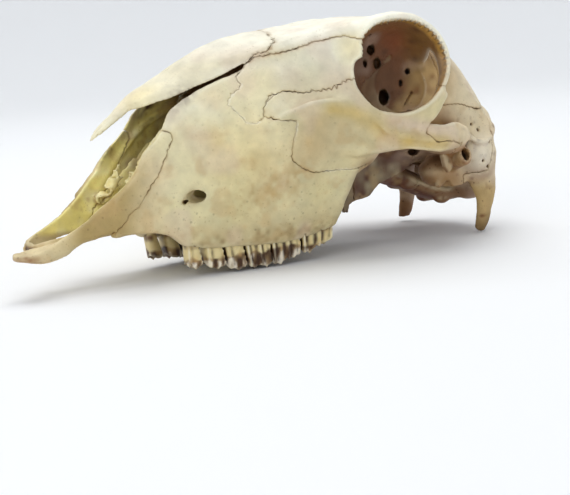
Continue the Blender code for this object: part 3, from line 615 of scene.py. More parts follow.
def foramina(field):
    """Holes for nerves and vessels: in the socket, the face, the brow, the base and behind the ear."""
    for *place, half_width, half_height, depth in ORBIT_FORAMINA:
        rows = [place - 4 * INWARD, place, place + depth * INWARD]
        cut(field, along(rows, half_height, half_width, (0, 0, 1)), 0.6)
    cut(field, tube(((68.4, 27.5, 33.6, 2.5, 1.9), (74.2, 24.8, 34.4, 2.6, 3.2), (79.4, 21.4, 34.8, 2.6, 3.2),
                     (87, 18.6, 35.4, 2.2, 2.6)), (0, 0, 1)), 0.9)
    cut(field, along(((69, 25, 33), (71.6, 22, 32.8), (75, 19, 32.7)), 1, 1), 0.6)
    cut(field, along(((163.5, 30, 108), (163.5, 30, 102), (166, 29, 97)), 1.8, 1.5), 0.7)
    cut(field, along(((150, 29, 105.6), (157, 29.6, 105.8), (163.5, 30, 104.6)), 0.7, 0.7), 1)
    cut(field, along(((192, 30, 41.6), (197, 19, 41), (202, 10, 41)), 2.7, 2.2), 0.8)
    cut(field, along(((195, 26, 27), (199, 18, 28.6), (203, 12, 30)), 1.6, 2), 0.8)
    cut(field, along(((207.4, 42, 46), (211.6, 38, 44.2), (216, 33, 42.4)), 0.7, 0.7), 0.6)
    for x, z in ((225, 48.6), (229.5, 43), (225.4, 34.4), (228.5, 31.4), (222, 51.5)):
        cut(field, along(((x, 40, z), (x, 33, z), (x, 29.5, z)), 0.8, 0.8, (1, 0, 0)), 0.4)
    for x, s in ((112, 12.6), (150, 9)):
        cut(field, along(((x, s, 10), (x, s, 21), (x + 3, s, 26)), 1.1, 1.4), 0.5)
    cut(field, along(((238, 22, 20), (230, 17, 22), (224, 12, 24)), 1.5, 1.5), 0.5)
    cut(field, along(((212, 14, 16), (214, 13, 22), (216, 12, 28)), 2.6, 5.6, (0, 1, 0)), 1)


def wall_ridge(field):
    """Crest on the socket's inner wall that parts it from the hollow for the jaw muscle."""
    ridge = ((198, 23.6, 80), (195, 23.4, 75.6), (191, 22.6, 70.6), (187.4, 22, 65.6), (184, 21.6, 61))
    add(field, along(ridge, 1.3, 1.2), 1.6)
    groove = ((198.4, 25.6, 77.4), (194.6, 25, 71.6), (190, 24.4, 65.4), (187, 24, 61.5))
    cut(field, along(groove, 0.7, 0.5), 0.3)


def hollow_out(field, face):
    """Cut the nose, the spinal cord's opening, the sockets, the gap inside the cheek and the foramina."""
    nasal_openings(field, face)
    cut(field, blob((219, 0, 36), (16, 13, 9)), 2)
    cut(field, tube(((224, 0, 33, 6, 6), (232, 0, 31, 9, 8.5), (250, 0, 28, 10.5, 10.5))), 2)
    cut(field, orbit_space(), 0.7)
    wall_ridge(field)
    cheek_gap = ((141, 2), (144.5, 18), (146.5, 26), (151, 34), (156, 39.5), (163, 42), (178, 42), (200, 41),
                 (205, 30), (205, 2))
    cut(field, plate(cheek_gap[:-3] + ((196, 41), (198, 30), (198, 2)), 17, 33, rounded=False), 1)
    cut(field, plate(cheek_gap[:-4] + ((194, 40), (194, 2)), 30, 70, rounded=False), 1)
    foramina(field)


# ---------------------------------------------------------------- cheek teeth
# Start and end at the gum, start and end at the tip, lobes, lowest points of the first and last lobe, width
CHEEK_TEETH = ((73.2, 78.6, 74.2, 82.2, 1, 2.8, 2.8, 6.6), (81, 88.2, 83, 91.8, 1, 2, 2, 9),
               (89.2, 97.4, 92.2, 100.6, 1, 0.4, 0.4, 10.4), (98.2, 109.6, 101.2, 111.9, 2, 0.2, 0, 11.8),
               (110.4, 124.6, 112.3, 126.2, 2, 0, 2.3, 12.6), (125.4, 142.2, 126.9, 141.6, 2, 3.2, 6.4, 11.6))
# Heights of the top of the root, inside the bone, and of the gum
TOOTH_ROOT = 20.0
GUM = 14.0
# Relief of a crown's cheek side, as the share of a lobe's length and the distance outwards
PREMOLAR_FACE = ((0.04, -0.5), (0.13, 0.15), (0.24, -0.2), (0.38, 0.1), (0.55, 0.25), (0.74, 0), (0.92, -0.8))
MOLAR_FACE = ((0.02, 0.3), (0.1, 0.55), (0.2, -0.2), (0.34, -0.55), (0.5, -0.2), (0.66, -0.4), (0.84, -0.75))


def tooth_outline(start, end, outer, width, lobes):
    """Crown section: styles, ribs and folds on the cheek side, round lobes on the tongue side."""
    inner = outer - width
    step = (end - start) / lobes
    profile = PREMOLAR_FACE if lobes == 1 else MOLAR_FACE
    points = [(start + (lobe + share) * step, outer + relief)
              for lobe in range(lobes) for share, relief in profile]
    points += [(end - 0.2, outer - 0.2), (end - 0.1, outer - 1.4)]
    for lobe in reversed(range(lobes)):
        a = start + lobe * step
        points += [(a + 0.97 * step, inner + 0.35 * width), (a + 0.88 * step, inner + 0.12 * width),
                   (a + 0.62 * step, inner), (a + 0.3 * step, inner + 0.02 * width),
                   (a + 0.08 * step, inner + 0.2 * width), (a + 0.03 * step, inner + 0.4 * width)]
    points.append((start + 0.1, outer - 1.6))
    loop = points[-2:] + points + points[:2]
    return smooth_outline(loop, 3)[6:-7]


def crown(start, end, tip_start, tip_end, lobes, first_tip, last_tip, width):
    """One cheek tooth, worn to a sloping face with a crescent pit in each lobe."""
    cells, x, s, z = block((start - 4, 5, -3), (tip_end + 4, 36, TOOTH_ROOT + 3))
    down = np.clip((GUM - z) / GUM, -0.4, 1)
    front = start + (tip_start - start) * down
    stretch = (end - start) / (end + (tip_end - end) * down - front)
    outer = float(ALVEOLAR((start + end) / 2)[0]) - 0.9
    turn = (float(ALVEOLAR(end)[0]) - float(ALVEOLAR(start)[0])) / (end - start)
    along_row = start + (x - front) * stretch
    across = s - turn * (along_row - (start + end) / 2) + 0.1 * np.clip(GUM - z, 0, 20)
    belly = np.clip((z - GUM) / 8, 0, 1) * 0.6
    outline = tooth_outline(start, end, outer, width, lobes)
    side = polygon(*np.broadcast_arrays(along_row, across), outline) + belly
    share = np.clip((along_row - start) / (end - start), 0, 0.999) * lobes
    in_lobe = share - np.floor(share)
    tip = first_tip + (last_tip - first_tip) * np.clip(share - 0.5, 0, 1)
    notch = 1.3 * np.abs(2 * in_lobe - 0.9) ** 1.6 + 0.9 * np.abs(np.sin(2.5 * np.pi * (in_lobe - 0.45)))
    depth_in = np.clip((outer - across) / width, 0, 1)
    face = tip + notch * (1 - 0.8 * depth_in) + 1.5 * np.sin(depth_in * np.pi) ** 2 + 1.6 * depth_in
    arc = np.abs(depth_in - 0.42 - 0.5 * (in_lobe - 0.5) ** 2) * width - 0.55
    lobe_length = (end - start) / lobes
    pit = np.maximum(arc, np.abs(in_lobe - 0.5) * lobe_length - 0.33 * lobe_length)
    face = face + 1.8 * np.clip(1 - pit / 0.5, 0, 1)
    worn = soft_max(side, (face - z) * 0.8, 0.5)
    return cells, soft_max(worn, z - TOOTH_ROOT, 0.5)


def teeth():
    """All the left cheek teeth as one field."""
    field = empty_field()
    for tooth in CHEEK_TEETH:
        add(field, crown(*tooth), 0)
    return field


# ---------------------------------------------------------------- which bone a place belongs to
# Suture lines in the side view, as x, z
PREMAXILLA_SUTURE = ((39.6, 21), (42.5, 25.2), (45.5, 27.8), (49.2, 31.1), (52.5, 33.6), (54.6, 37),
                     (57.5, 39.6), (60.4, 43), (62.3, 46.5), (63.9, 49.2), (66.4, 52), (68, 55.4), (69.8, 59),
                     (69.2, 61.8), (66.4, 63), (62, 66))
NASAL_BELOW = ((30, 52), (44, 60.2), (53, 66), (60, 70.2), (66, 72), (72, 73.3), (77, 75.6), (84, 78.6),
               (90, 80.5), (97, 83), (103, 85.2), (107.4, 87.2))
FRONTONASAL = ((112, 90.4), (119, 93), (123, 96.5), (127, 100), (131, 104))
LACRIMAL_FRONT = ((107.4, 86.8), (101.5, 82), (103, 78.5), (97, 74), (95.5, 71), (98, 67.5), (101, 63.5),
                  (105.5, 63.3), (108.5, 65))
LACRIMAL_BELOW = ((109, 68), (112.5, 73.5), (118, 75), (127, 74), (138, 74.5), (149, 79))
LACRIMAL_ABOVE = ((111.5, 89.4), (117, 91), (124, 91.8), (134, 95), (143, 97), (153, 95))
MALAR_FRONT = ((108.5, 65), (113.5, 63), (119, 62), (119.5, 57), (117, 52), (118, 46), (122, 42), (130, 40),
               (142, 39.5))
ARCH_SEAM = ((178, 56), (176.8, 53), (180.5, 49), (188, 47.8), (198, 45.4))
SQUAMOSAL = ((199, 62), (212, 61.5), (221, 59.5), (231.5, 58))
MASTOID = ((217.5, 12), (217.5, 29.5), (229, 30), (231.5, 40))
CORONAL = ((199, 62), (203.4, 77), (203.6, 112))
LAMBDOID = ((231.5, 58), (234, 68), (234, 112))

NASAL = NASAL_BELOW + FRONTONASAL + ((131, 112), (30, 112))
PREMAXILLA = ((-12, 4), (39.6, 4)) + PREMAXILLA_SUTURE + ((60, 80), (-12, 80))
LACRIMAL = LACRIMAL_FRONT + LACRIMAL_BELOW + ((158, 80), (158, 93)) + LACRIMAL_ABOVE[::-1]
ZYGOMATIC = (MALAR_FRONT[::-1] + LACRIMAL_BELOW + ((158, 79), (158, 72), (194, 72), (184, 60)) + ARCH_SEAM
             + ((198, 36), (170, 36), (160, 41.5)))
FRONTAL = (((109, 90), (109, 65), (158, 65), (158, 60), (170, 57.5), (186, 60)) + CORONAL
           + ((131.5, 112), (131.5, 104)) + FRONTONASAL[-2::-1])
TEMPORAL = ((186, 60),) + ARCH_SEAM + ((198, 36), (198, 12)) + MASTOID + SQUAMOSAL[::-1]
MAXILLA = (((39.6, -9),) + PREMAXILLA_SUTURE + NASAL_BELOW[6:] + LACRIMAL_FRONT
           + ((158, 65), (158, -9)))
PALATINE = ((106, 8), (106, 25), (120, 30), (132, 47), (166, 50), (166, 8))
PARIETAL = CORONAL + LAMBDOID[::-1] + SQUAMOSAL[-2:0:-1]
OCCIPITAL = ((206, -9), (206, 36), (229, 38)) + MASTOID[-1:] + LAMBDOID + ((262, 112), (262, -9))

# Each bone's side-view territory, its limits out from the midline, and whether it crosses the midline
BONES = (("nasal", NASAL, 0, 44, False), ("premaxilla", PREMAXILLA, 0, 44, False),
         ("lacrimal", LACRIMAL, 14, 70, False), ("zygomatic", ZYGOMATIC, 29, 70, False),
         ("frontal", FRONTAL, 0, 70, False), ("temporal", TEMPORAL, 14, 70, False),
         ("palatine", PALATINE, 0, 14.4, False), ("maxilla", MAXILLA, 0, 70, False),
         ("parietal", PARIETAL, -9, 70, True), ("occipital", OCCIPITAL, -9, 70, True),
         ("sphenoid", None, -9, 70, True))


def noise(points, cell, seed):
    """Smooth value noise between -1 and 1, with features of about one cell."""
    scaled = np.asarray(points, np.float32) / cell + seed * 7.31
    base = np.floor(scaled).astype(np.int64)
    t = scaled - base
    t = t * t * (3 - 2 * t)
    total = 0
    for corner in itertools.product((0, 1), repeat=3):
        key = (base + corner) @ np.array((73856093, 19349663, 83492791))
        key = (key ^ (key >> 13)) * 1274126177
        key = ((key ^ (key >> 16)) & 0xFFFF) / 32767.5 - 1
        weight = np.prod(np.where(corner, t, 1 - t), axis=-1)
        total = total + key * weight
    return total.astype(np.float32)


def zigzag(value):
    """Triangle wave between -1 and 1 with a period of 1."""
    return 4 * np.abs(value - np.floor(value) - 0.5) - 1


def territories():
    """Distance over the side view to each bone's outline, wandering and toothed like a suture."""
    x, z = AXES[0][:, None], AXES[2][None, :]
    flat = np.stack(np.broadcast_arrays(x, z, np.float32(0)), -1)
    drift_x = 0.9 * noise(flat, 7, 1) + 0.45 * noise(flat, 2.2, 2)
    drift_z = 0.9 * noise(flat, 7, 3) + 0.45 * noise(flat, 2.2, 4)
    near_edge = np.clip((polygon(x, z, NOSE_APERTURE) - 0.5) / 6, 0, 1)
    lacy = np.exp(-((x - 140) / 13) ** 2 - ((z - 75) / 6) ** 2)
    wave = (0.22 + 0.25 * np.clip(noise(flat, 22, 5), 0, 1) + 0.6 * lacy) * near_edge
    drift_x = drift_x * near_edge
    drift_z = drift_z * near_edge
    warped_x = x + drift_x + wave * zigzag(z / 2.3 + 0.4 * drift_x)
    warped_z = z + drift_z + wave * zigzag(x / 2.1 + 0.4 * drift_z)
    return {name: polygon(warped_x, warped_z, outline) for name, outline, *_ in BONES if outline is not None}


# ---------------------------------------------------------------- meshes from fields
CORNERS = np.array(list(itertools.product((0, 1), repeat=3)))
EDGES = [(a, b) for a in range(8) for b in range(a + 1, 8) if np.abs(CORNERS[a] - CORNERS[b]).sum() == 1]


def surface(field, low):
    """Surface net of a field's zero level: vertices in millimetres, and quads that face outwards."""
    solid = field < 0
    shape = np.array(field.shape) - 1
    count = np.zeros(shape, np.int8)
    for corner in CORNERS:
        count += solid[tuple(slice(c, c + n) for c, n in zip(corner, shape))]
    active = np.argwhere((count > 0) & (count < 8))
    values = np.stack([field[tuple((active + corner).T)] for corner in CORNERS], 1)
    total = np.zeros((len(active), 3))
    hits = np.zeros((len(active), 1))
    for a, b in EDGES:
        crossed = (values[:, a] < 0) != (values[:, b] < 0)
        gap = np.where(crossed, values[:, a] - values[:, b], 1)
        t = np.where(crossed, values[:, a] / gap, 0)[:, None]
        total += (CORNERS[a] + (CORNERS[b] - CORNERS[a]) * t) * crossed[:, None]
        hits += crossed[:, None]
    vertices = low + (active + total / hits) * STEP
    index = np.full(shape, -1, np.int32)
    index[tuple(active.T)] = np.arange(len(active))
    quads = []
    for axis in range(3):
        u, v = [(1, 2), (2, 0), (0, 1)][axis]
        first = [slice(1, n) for n in shape]
        first[axis] = slice(0, shape[axis])
        second = list(first)
        second[axis] = slice(1, shape[axis] + 1)
        here, there = solid[tuple(first)], solid[tuple(second)]
        places = np.argwhere(here != there)
        out = here[tuple(places.T)]
        places = places + np.where(np.arange(3) == axis, 0, 1)
        ring = []
        for du, dv in ((0, 0), (-1, 0), (-1, -1), (0, -1)):
            corner = places.copy()
            corner[:, u] += du
            corner[:, v] += dv
            ring.append(index[tuple(corner.T)])
        ring = np.stack(ring, 1)
        ring[~out] = ring[~out][:, ::-1]
        quads.append(ring)
    quads = np.concatenate(quads)
    return vertices, quads[(quads >= 0).all(1)]


def twist(points):
    """Lower the right side with height.  The points are in world axes, in millimetres."""
    share = np.clip((points[:, 2] - TWIST_FLOOR) / TWIST_HEIGHT, 0, 1)
    share = share * share * (3 - 2 * share)
    right = np.maximum(points[:, 1], 0)
    points[:, 2] -= TWIST * share * right * right / (right + TWIST_BLEND)
    return points


def sample(grid, points, start=0, cell=1):
    """A grid's value at skull-frame points, linear between its cells."""
    origin = np.array([AXES[0][0], AXES[1][start], AXES[2][0]])
    where = np.clip((points - origin) / (STEP * cell), 0, np.array(grid.shape) - 1.001)
    base = where.astype(np.int32)
    t = (where - base).astype(np.float32)
    total = np.zeros(len(points), np.float32)
    for corner in CORNERS:
        total += np.prod(np.where(corner, t, 1 - t), axis=1) * grid[tuple((base + corner).T)]
    return total


def blur(grid, radius):
    """Mean of a grid over a cube of cells."""
    width = 2 * radius + 1
    for axis in range(3):
        margin = [(radius + 1, radius) if axis == a else (0, 0) for a in range(3)]
        total = np.cumsum(np.pad(grid, margin, mode="edge"), axis=axis, dtype=np.float32)
        total = np.moveaxis(total, axis, 0)
        grid = np.moveaxis((total[width:] - total[:-width]) / width, 0, axis)
    return grid


def closeness(field, radius):
    """Share of solid round each cell: 0.5 on a flat face, more in a hollow, less on an edge."""
    return blur(np.where(field < 0, 1, 0).astype(np.float32), radius)


def shifted(grid, offset):
    """The grid moved by whole cells, empty where nothing moves in."""
    target = tuple(slice(max(step, 0), length + min(step, 0)) for step, length in zip(offset, grid.shape))
    source = tuple(slice(max(-step, 0), length + min(-step, 0)) for step, length in zip(offset, grid.shape))
    moved = np.zeros_like(grid)
    moved[target] = grid[source]
    return moved


def openness(mass):
    """Share of the directions round each place that lead out of the skull, on a coarse grid."""
    half = mass[::COARSE, 2::COARSE, ::COARSE] < 0
    solid = np.concatenate([half[:, ::-1], half], 1)
    free = np.zeros(solid.shape, np.float32)
    directions = [step for step in itertools.product((-1, 0, 1), repeat=3) if any(step)]
    for direction in directions:
        blocked = solid
        for reach in (1, 2, 4, 8, 16, 32):
            blocked = blocked | shifted(blocked, [step * reach for step in direction])
        free += ~blocked
    empty = (~solid).astype(np.float32)
    mean = blur(free / len(directions) * empty, 1) / np.maximum(blur(empty, 1), 0.04)
    return mean[:, half.shape[1]:]


def vertex_normals(points, quads):
    """Unit normals from the faces round each vertex, weighted by their areas."""
    corner = points[quads]
    cross = np.cross(corner[:, 2] - corner[:, 0], corner[:, 3] - corner[:, 1])
    index = quads.ravel()
    total = [np.bincount(index, np.repeat(cross[:, k], 4), len(points)) for k in range(3)]
    normals = np.stack(total, 1)
    return normals / np.maximum(np.linalg.norm(normals, axis=1, keepdims=True), 1e-9)


def roughen(world, normals, amount):
    """Move vertices along their normals, by the fine unevenness of dry bone."""
    height = 0.13 * noise(world, 5.5, 11) + 0.09 * noise(world, 2.4, 12) + 0.05 * noise(world, 1.1, 13)
    pores = np.clip(noise(world, 1.5, 14) - 0.62, 0, 1) * 0.7
    return world + normals * ((height - pores) * amount)[:, None]


def make_mesh(name, vertices, quads, side, painter, amount=1.0):
    """Mesh object from a skull-frame surface.  Side is -1 for a left half and 1 for a right one."""
    flip = np.array((1, side, 1))
    normals = vertex_normals(vertices, quads) * flip
    world = vertices * flip
    colour, surface_mask = painter(vertices, world, normals)
    world = twist(roughen(world, normals, amount) - (MIDDLE_X, 0, 0)) * MM
    if side < 0:
        quads = quads[:, ::-1]
    mesh = bpy.data.meshes.new(name)
    mesh.vertices.add(len(world))
    mesh.vertices.foreach_set("co", world.astype(np.float32).ravel())
    mesh.loops.add(quads.size)
    mesh.loops.foreach_set("vertex_index", quads.astype(np.int32).ravel())
    mesh.polygons.add(len(quads))
    mesh.polygons.foreach_set("loop_start", np.arange(0, quads.size, 4, dtype=np.int32))
    mesh.update(calc_edges=True)
    mesh.validate()
    mesh.shade_smooth()
    for label, values in (("tint", colour), ("surface", surface_mask)):
        layer = mesh.color_attributes.new(label, "FLOAT_COLOR", "POINT")
        rgba = np.concatenate([values, np.ones((len(values), 1))], 1).astype(np.float32)
        layer.data.foreach_set("color", rgba.ravel())
    item = bpy.data.objects.new(name, mesh)
    bpy.context.scene.collection.objects.link(item)
    return item


def lowest(cells):
    """A block's lowest corner."""
    return np.array([axis[c.start] for axis, c in zip(AXES, cells)])


# ---------------------------------------------------------------- colour of every place
def shade(red, green, blue):
    """Linear colour of an eight-bit one."""
    return np.array([value / 255 for value in (red, green, blue)]) ** 2.2


WHITE = shade(246, 243, 222)
CREAM = shade(228, 218, 176)
BUTTER = shade(236, 216, 146)
BLUSH = shade(230, 202, 168)
TAN = shade(200, 172, 124)
EARTH = shade(138, 98, 58)
RUST = shade(150, 82, 48)
DARK = shade(62, 40, 24)
BLACK = shade(28, 18, 12)

# Strength of the face's stains on the right side, against 1 on the left
RIGHT_STAIN = 0.35


def coats(colour, *layers):
    """Lay coats of paint over a colour: each is the colour it turns to, and its weight at every place."""
    for target, weight in layers:
        colour = colour + (target - colour) * np.clip(weight, 0, 1)[:, None]
    return colour


def step_up(value, low, high):
    """0 below one limit, 1 above the other, and smooth between them."""
    t = np.clip((value - low) / (high - low), 0, 1)
    return t * t * (3 - 2 * t)


def near(points, path, radius):
    """1 on a path of points, falling to 0 with distance."""
    path = np.array(path, float)
    best = np.full(len(points), 1e9)
    for p, q in zip(path, path[1:]):
        run = q - p
        t = np.clip(((points - p) @ run) / (run @ run), 0, 1)
        best = np.minimum(best, ((points - p - t[:, None] * run) ** 2).sum(1))
    return np.exp(-best / radius ** 2)


def clouds(points, *rows):
    """Soft round spots added up.  Each row is x, s, z, radius, strength."""
    total = 0
    for x, s, z, radius, strength in rows:
        total = total + strength * np.exp(-((points - np.array((x, s, z))) ** 2).sum(1) / radius ** 2)
    return total


def patches(points, cell, seed, level=0.0, gain=1.0):
    """Noise between 0 and 1, raised by a level."""
    return np.clip(level + gain * noise(points, cell, seed), 0, 1)


def orbit_place(points):
    """Distance backwards, upwards and outwards of the socket's rim plane, and the angle round it."""
    delta = points - ORBIT_CENTRE
    back, up, out = (delta @ axis for axis in orbit_axes())
    return back, up, out, orbit_angle(back, up)


def socket_paint(points, world):
    """Brown inside of the eye socket with a rusty patch, the paler braincase behind it, and black painted
    shade in its foramina.
    """
    x, s, z = points.T
    back, up, out, angle = orbit_place(points)
    radius, rearward, drop = SOCKET_DEPTH(-out)
    beyond = np.sqrt((back - rearward) ** 2 + (up + drop) ** 2) - radius
    inside = step_up(2.2 - beyond, 0, 1.4) * step_up(-out, 0.5, 4)
    inside = np.maximum(inside, step_up(s, 6, 9) * clouds(points, (200, 24, 76, 15, 1.3)))
    wall = coats(shade(150, 108, 68),
                 (shade(112, 76, 48), step_up(-out, 2, 24)),
                 (RUST, clouds(points, (186, 26, 94, 9, 0.75), (176, 27, 99, 8, 0.45))),
                 (shade(178, 146, 94), 0.9 * step_up(back, 10, 19) * step_up(-up, -12, 0)),
                 (shade(150, 114, 64), 0.7 * step_up(back, 6, 17) * step_up(up, 2, 14)),
                 (shade(80, 52, 32), 0.6 * patches(world, 4.5, 21)))
    front_floor = np.clip(clouds(points, (164, 29, 70, 13, 1.6)), 0, 0.85) * step_up(-out, 3, 6)
    brain_wall = step_up(x, 178, 186) * step_up(36 - s, 0, 4) * step_up(z, 54, 62)
    wedge = step_up(62 + 0.72 * (x - 181) - z, -3, 2)
    brain_wall = brain_wall * np.maximum(wedge, 1 - inside)
    brain_wall = brain_wall * step_up(208 - x, 0, 8) * step_up(99 - z, 0, 5)
    mottled_tan = coats(shade(186, 154, 104), (EARTH, patches(world, 3.2, 24, 0.1)))
    layers = [(wall, inside), (shade(118, 82, 54), front_floor), (mottled_tan, 0.85 * brain_wall)]
    # black painted shade inside each foramen
    for *place, half_width, half_height, reach in ORBIT_FORAMINA:
        path = (place + 0.6 * INWARD, place + reach * INWARD)
        layers.append((BLACK, step_up(near(points, path, (half_width + half_height) * 0.55), 0.25, 0.6)))
    return layers


def rim_paint(points, world):
    """Golden rim of the socket, with dirt in its notches."""
    back, up, out, angle = orbit_place(points)
    past_edge = np.sqrt(back ** 2 + up ** 2) - APERTURE(angle)[0]
    band = step_up(past_edge, -1.6, -0.6) * step_up(1.4 - past_edge, 0, 1.2)
    band = band * step_up(out, -7, -3.5) * step_up(1.2 - out, 0, 1.6)
    band = band * (0.2 + 0.8 * step_up(angle, -75, -35) * step_up(165 - angle, 0, 40))
    lip = np.exp(-((past_edge + 0.2) / 0.7) ** 2) * step_up(out, -5, -2) * step_up(angle, -30, 10)
    dirt = np.clip(0.3 + 0.55 * rim_notches(angle) + 0.6 * noise(world, 1.1, 23), 0, 0.9)
    return [(shade(206, 158, 76), band * (0.72 + 0.3 * noise(world, 2.6, 22))), (DARK, lip * dirt)]


RIDGE_STAIN = ((134, 45, 66), (144, 47.5, 63), (150, 49.5, 59), (155, 51, 54), (162, 53, 51), (172, 54, 49.6),
               (184, 54, 48), (194, 52.4, 47))


def cheek_paint(points, world):
    """Yellow ridge below the socket, its pinkish flank, and the browner rear end of the arch."""
    ridge = near(points, RIDGE_STAIN, 3.4) * (0.62 + 0.3 * noise(world, 5, 31))
    flank = near(points, ((160, 51, 60), (170, 52.5, 57), (182, 53.4, 54), (192, 52, 53)), 3.4)
    rear = near(points, ((206, 43, 50), (209, 38, 45), (205, 45, 45), (198, 48, 44)), 4)
    return [(shade(204, 174, 98), ridge),
            (shade(222, 198, 178), 0.75 * flank),
            (shade(182, 122, 62), 0.85 * rear)]


def side_paint(points, world):
    """Stains of the face: ochre clouds and specks on this skull's left side, fainter ones on its right; brown
    at the canal above the front cheek teeth; a yellower tone below the socket; and low on the face a darker,
    yellower tone that is partly painted shade.
    """
    x, s, z = points.T
    left = np.where(world[:, 1] < 0, 1.0, RIGHT_STAIN)
    cloud = clouds(points, (87, 27, 57, 6, 0.42), (88, 28, 46, 9, 0.3), (108, 34, 42, 10, 0.3),
                   (104, 33, 52, 8, 0.25))
    canal = near(points, ((76.4, 22.6, 34.4), (81, 19.6, 34.8), (88, 18, 35.4)), 3.4)
    brown = clouds(points, (118, 34, 38, 6, 1), (106, 32, 34, 8, 0.8), (96, 30, 28, 8, 0.5))
    speck = 0.25 + 1.3 * patches(world, 1.7, 42, 0.1)
    malar = clouds(points, (126, 41, 52, 9, 0.45), (128, 42, 62, 5, 0.5))
    below_socket = clouds(points, (150, 50, 60, 16, 1), (128, 42, 62, 9, 1))
    before_socket = step_up(150 - x, 0, 10)
    lower_face = step_up(56 - z, 0, 26) * step_up(x, 60, 80) * before_socket
    gum = step_up(30 - z, 0, 14) * step_up(x, 64, 84) * before_socket
    grime = gum * step_up(21 - z, 0, 6) * patches(world, 2.2, 43, 0.35)
    return [(shade(222, 184, 104), cloud * left * (0.75 + 0.35 * noise(world, 4, 41))),
            (shade(134, 98, 58), canal * step_up(24.8 - s, 0, 2)),
            (shade(188, 152, 100), 0.75 * brown * left * speck),
            (shade(206, 164, 104), malar * left),
            # darker and yellower low on the face: tone, and painted shade from light above
            (shade(206, 196, 146), 0.45 * lower_face),
            (shade(206, 190, 146), 0.55 * np.clip(below_socket, 0, 1)),
            # painted shade, with a yellower tone, near the tooth row
            (shade(206, 192, 146), 0.7 * gum),
            (shade(140, 112, 70), 0.7 * grime)]


def face_tones(points, normals):
    """Greener bone before the socket, a browner cheek, and a painted highlight where the crown faces up."""
    cheek_area = near(points, ((128, 42, 52), (140, 50, 64), (158, 55, 59), (172, 57, 56)), 15)
    return [(shade(186, 178, 138), clouds(points, (125, 41, 80, 15, 0.55))),
            (shade(170, 148, 104), 0.36 * cheek_area),
            # painted highlight on the crown, where it faces up
            (shade(255, 253, 238), 0.7 * step_up(points[:, 2] + 10 * normals[:, 2], 92, 106))]


def nose_lining(points, world):
    """Colours of the nose's lining: pale yellow, streaked, browner deeper in, and darkest at its back as
    painted shade.
    """
    x, _, z = points.T
    return coats(shade(250, 236, 148),
                 (shade(254, 248, 206), 0.7 * patches(world, 5, 51, 0.1)),
                 (shade(188, 152, 70), 0.5 * patches(world * (1, 1, 0.4), 3.6, 56)),
                 (shade(180, 142, 84), 0.8 * step_up(x, 78, 106) + 0.3 * step_up(z, 68, 80)),
                 # painted shade deep in the nose
                 (shade(92, 58, 36), 0.85 * step_up(x, 88, 112)),
                 (shade(180, 144, 86), 0.7 * patches(world, 2.2, 52, -0.25)))


def nose_paint(points, world, normals):
    """The nose's lining with its crusts and papery remains, and the browner front jaw bones."""
    x, s, z = points.T
    front_jaw = step_up(66 - x, 0, 12) * step_up(62 - z, 0, 12)
    inward = step_up(-normals[:, 1] * np.sign(world[:, 1]), -0.1, 0.4)
    within = step_up(x, 14, 24) * step_up(138 - x, 0, 8) * step_up(DORSAL(x)[0] - 1.4 - z, 0, 1.5)
    within = within * step_up(z, 21, 24) * step_up(UPPER_SIDE(x)[0] + 1.5 - s, 0, 3)
    crust = clouds(points, (80, 16, 72, 8, 1)) * patches(world, 1.8, 55, 0.9, 0.8)
    papery = near(points, ((60, 15.6, 36), (72, 15.2, 46), (86, 17, 56), (96, 19, 60)), 6)
    papery = papery * step_up(19.5 - s, 0, 2) * step_up(104 - x, 0, 16) * patches(world, 2.6, 54, 0.75)
    torn = near(points, ((51, 5.5, 37), (57, 6, 45), (64, 9, 54)), 7) * step_up(12 - s, 0, 2)
    far_spots = clouds(points, (53.3, 15, 51.8, 2.6, 1), (58.6, 15.5, 55.4, 2.2, 1)) * (world[:, 1] > 0)
    tips = step_up(14 - x, 0, 10) * step_up(19.4 - z, 0, 1.6)
    return [(shade(206, 182, 136), 0.6 * front_jaw),
            (shade(168, 142, 84), 0.85 * front_jaw * step_up(x, 18, 30) * step_up(58 - x, 0, 16)),
            (nose_lining(points, world), within * inward),
            (shade(92, 58, 34), crust * step_up(19 - s, 0, 2)),
            (shade(252, 240, 178), np.clip(0.85 * papery + torn, 0, 0.95)),
            (shade(84, 52, 30), far_spots * patches(world, 1.3, 57, 0.8, 1.2)),
            (shade(150, 104, 58), tips * (0.7 + 0.5 * noise(world, 1.6, 53)))]


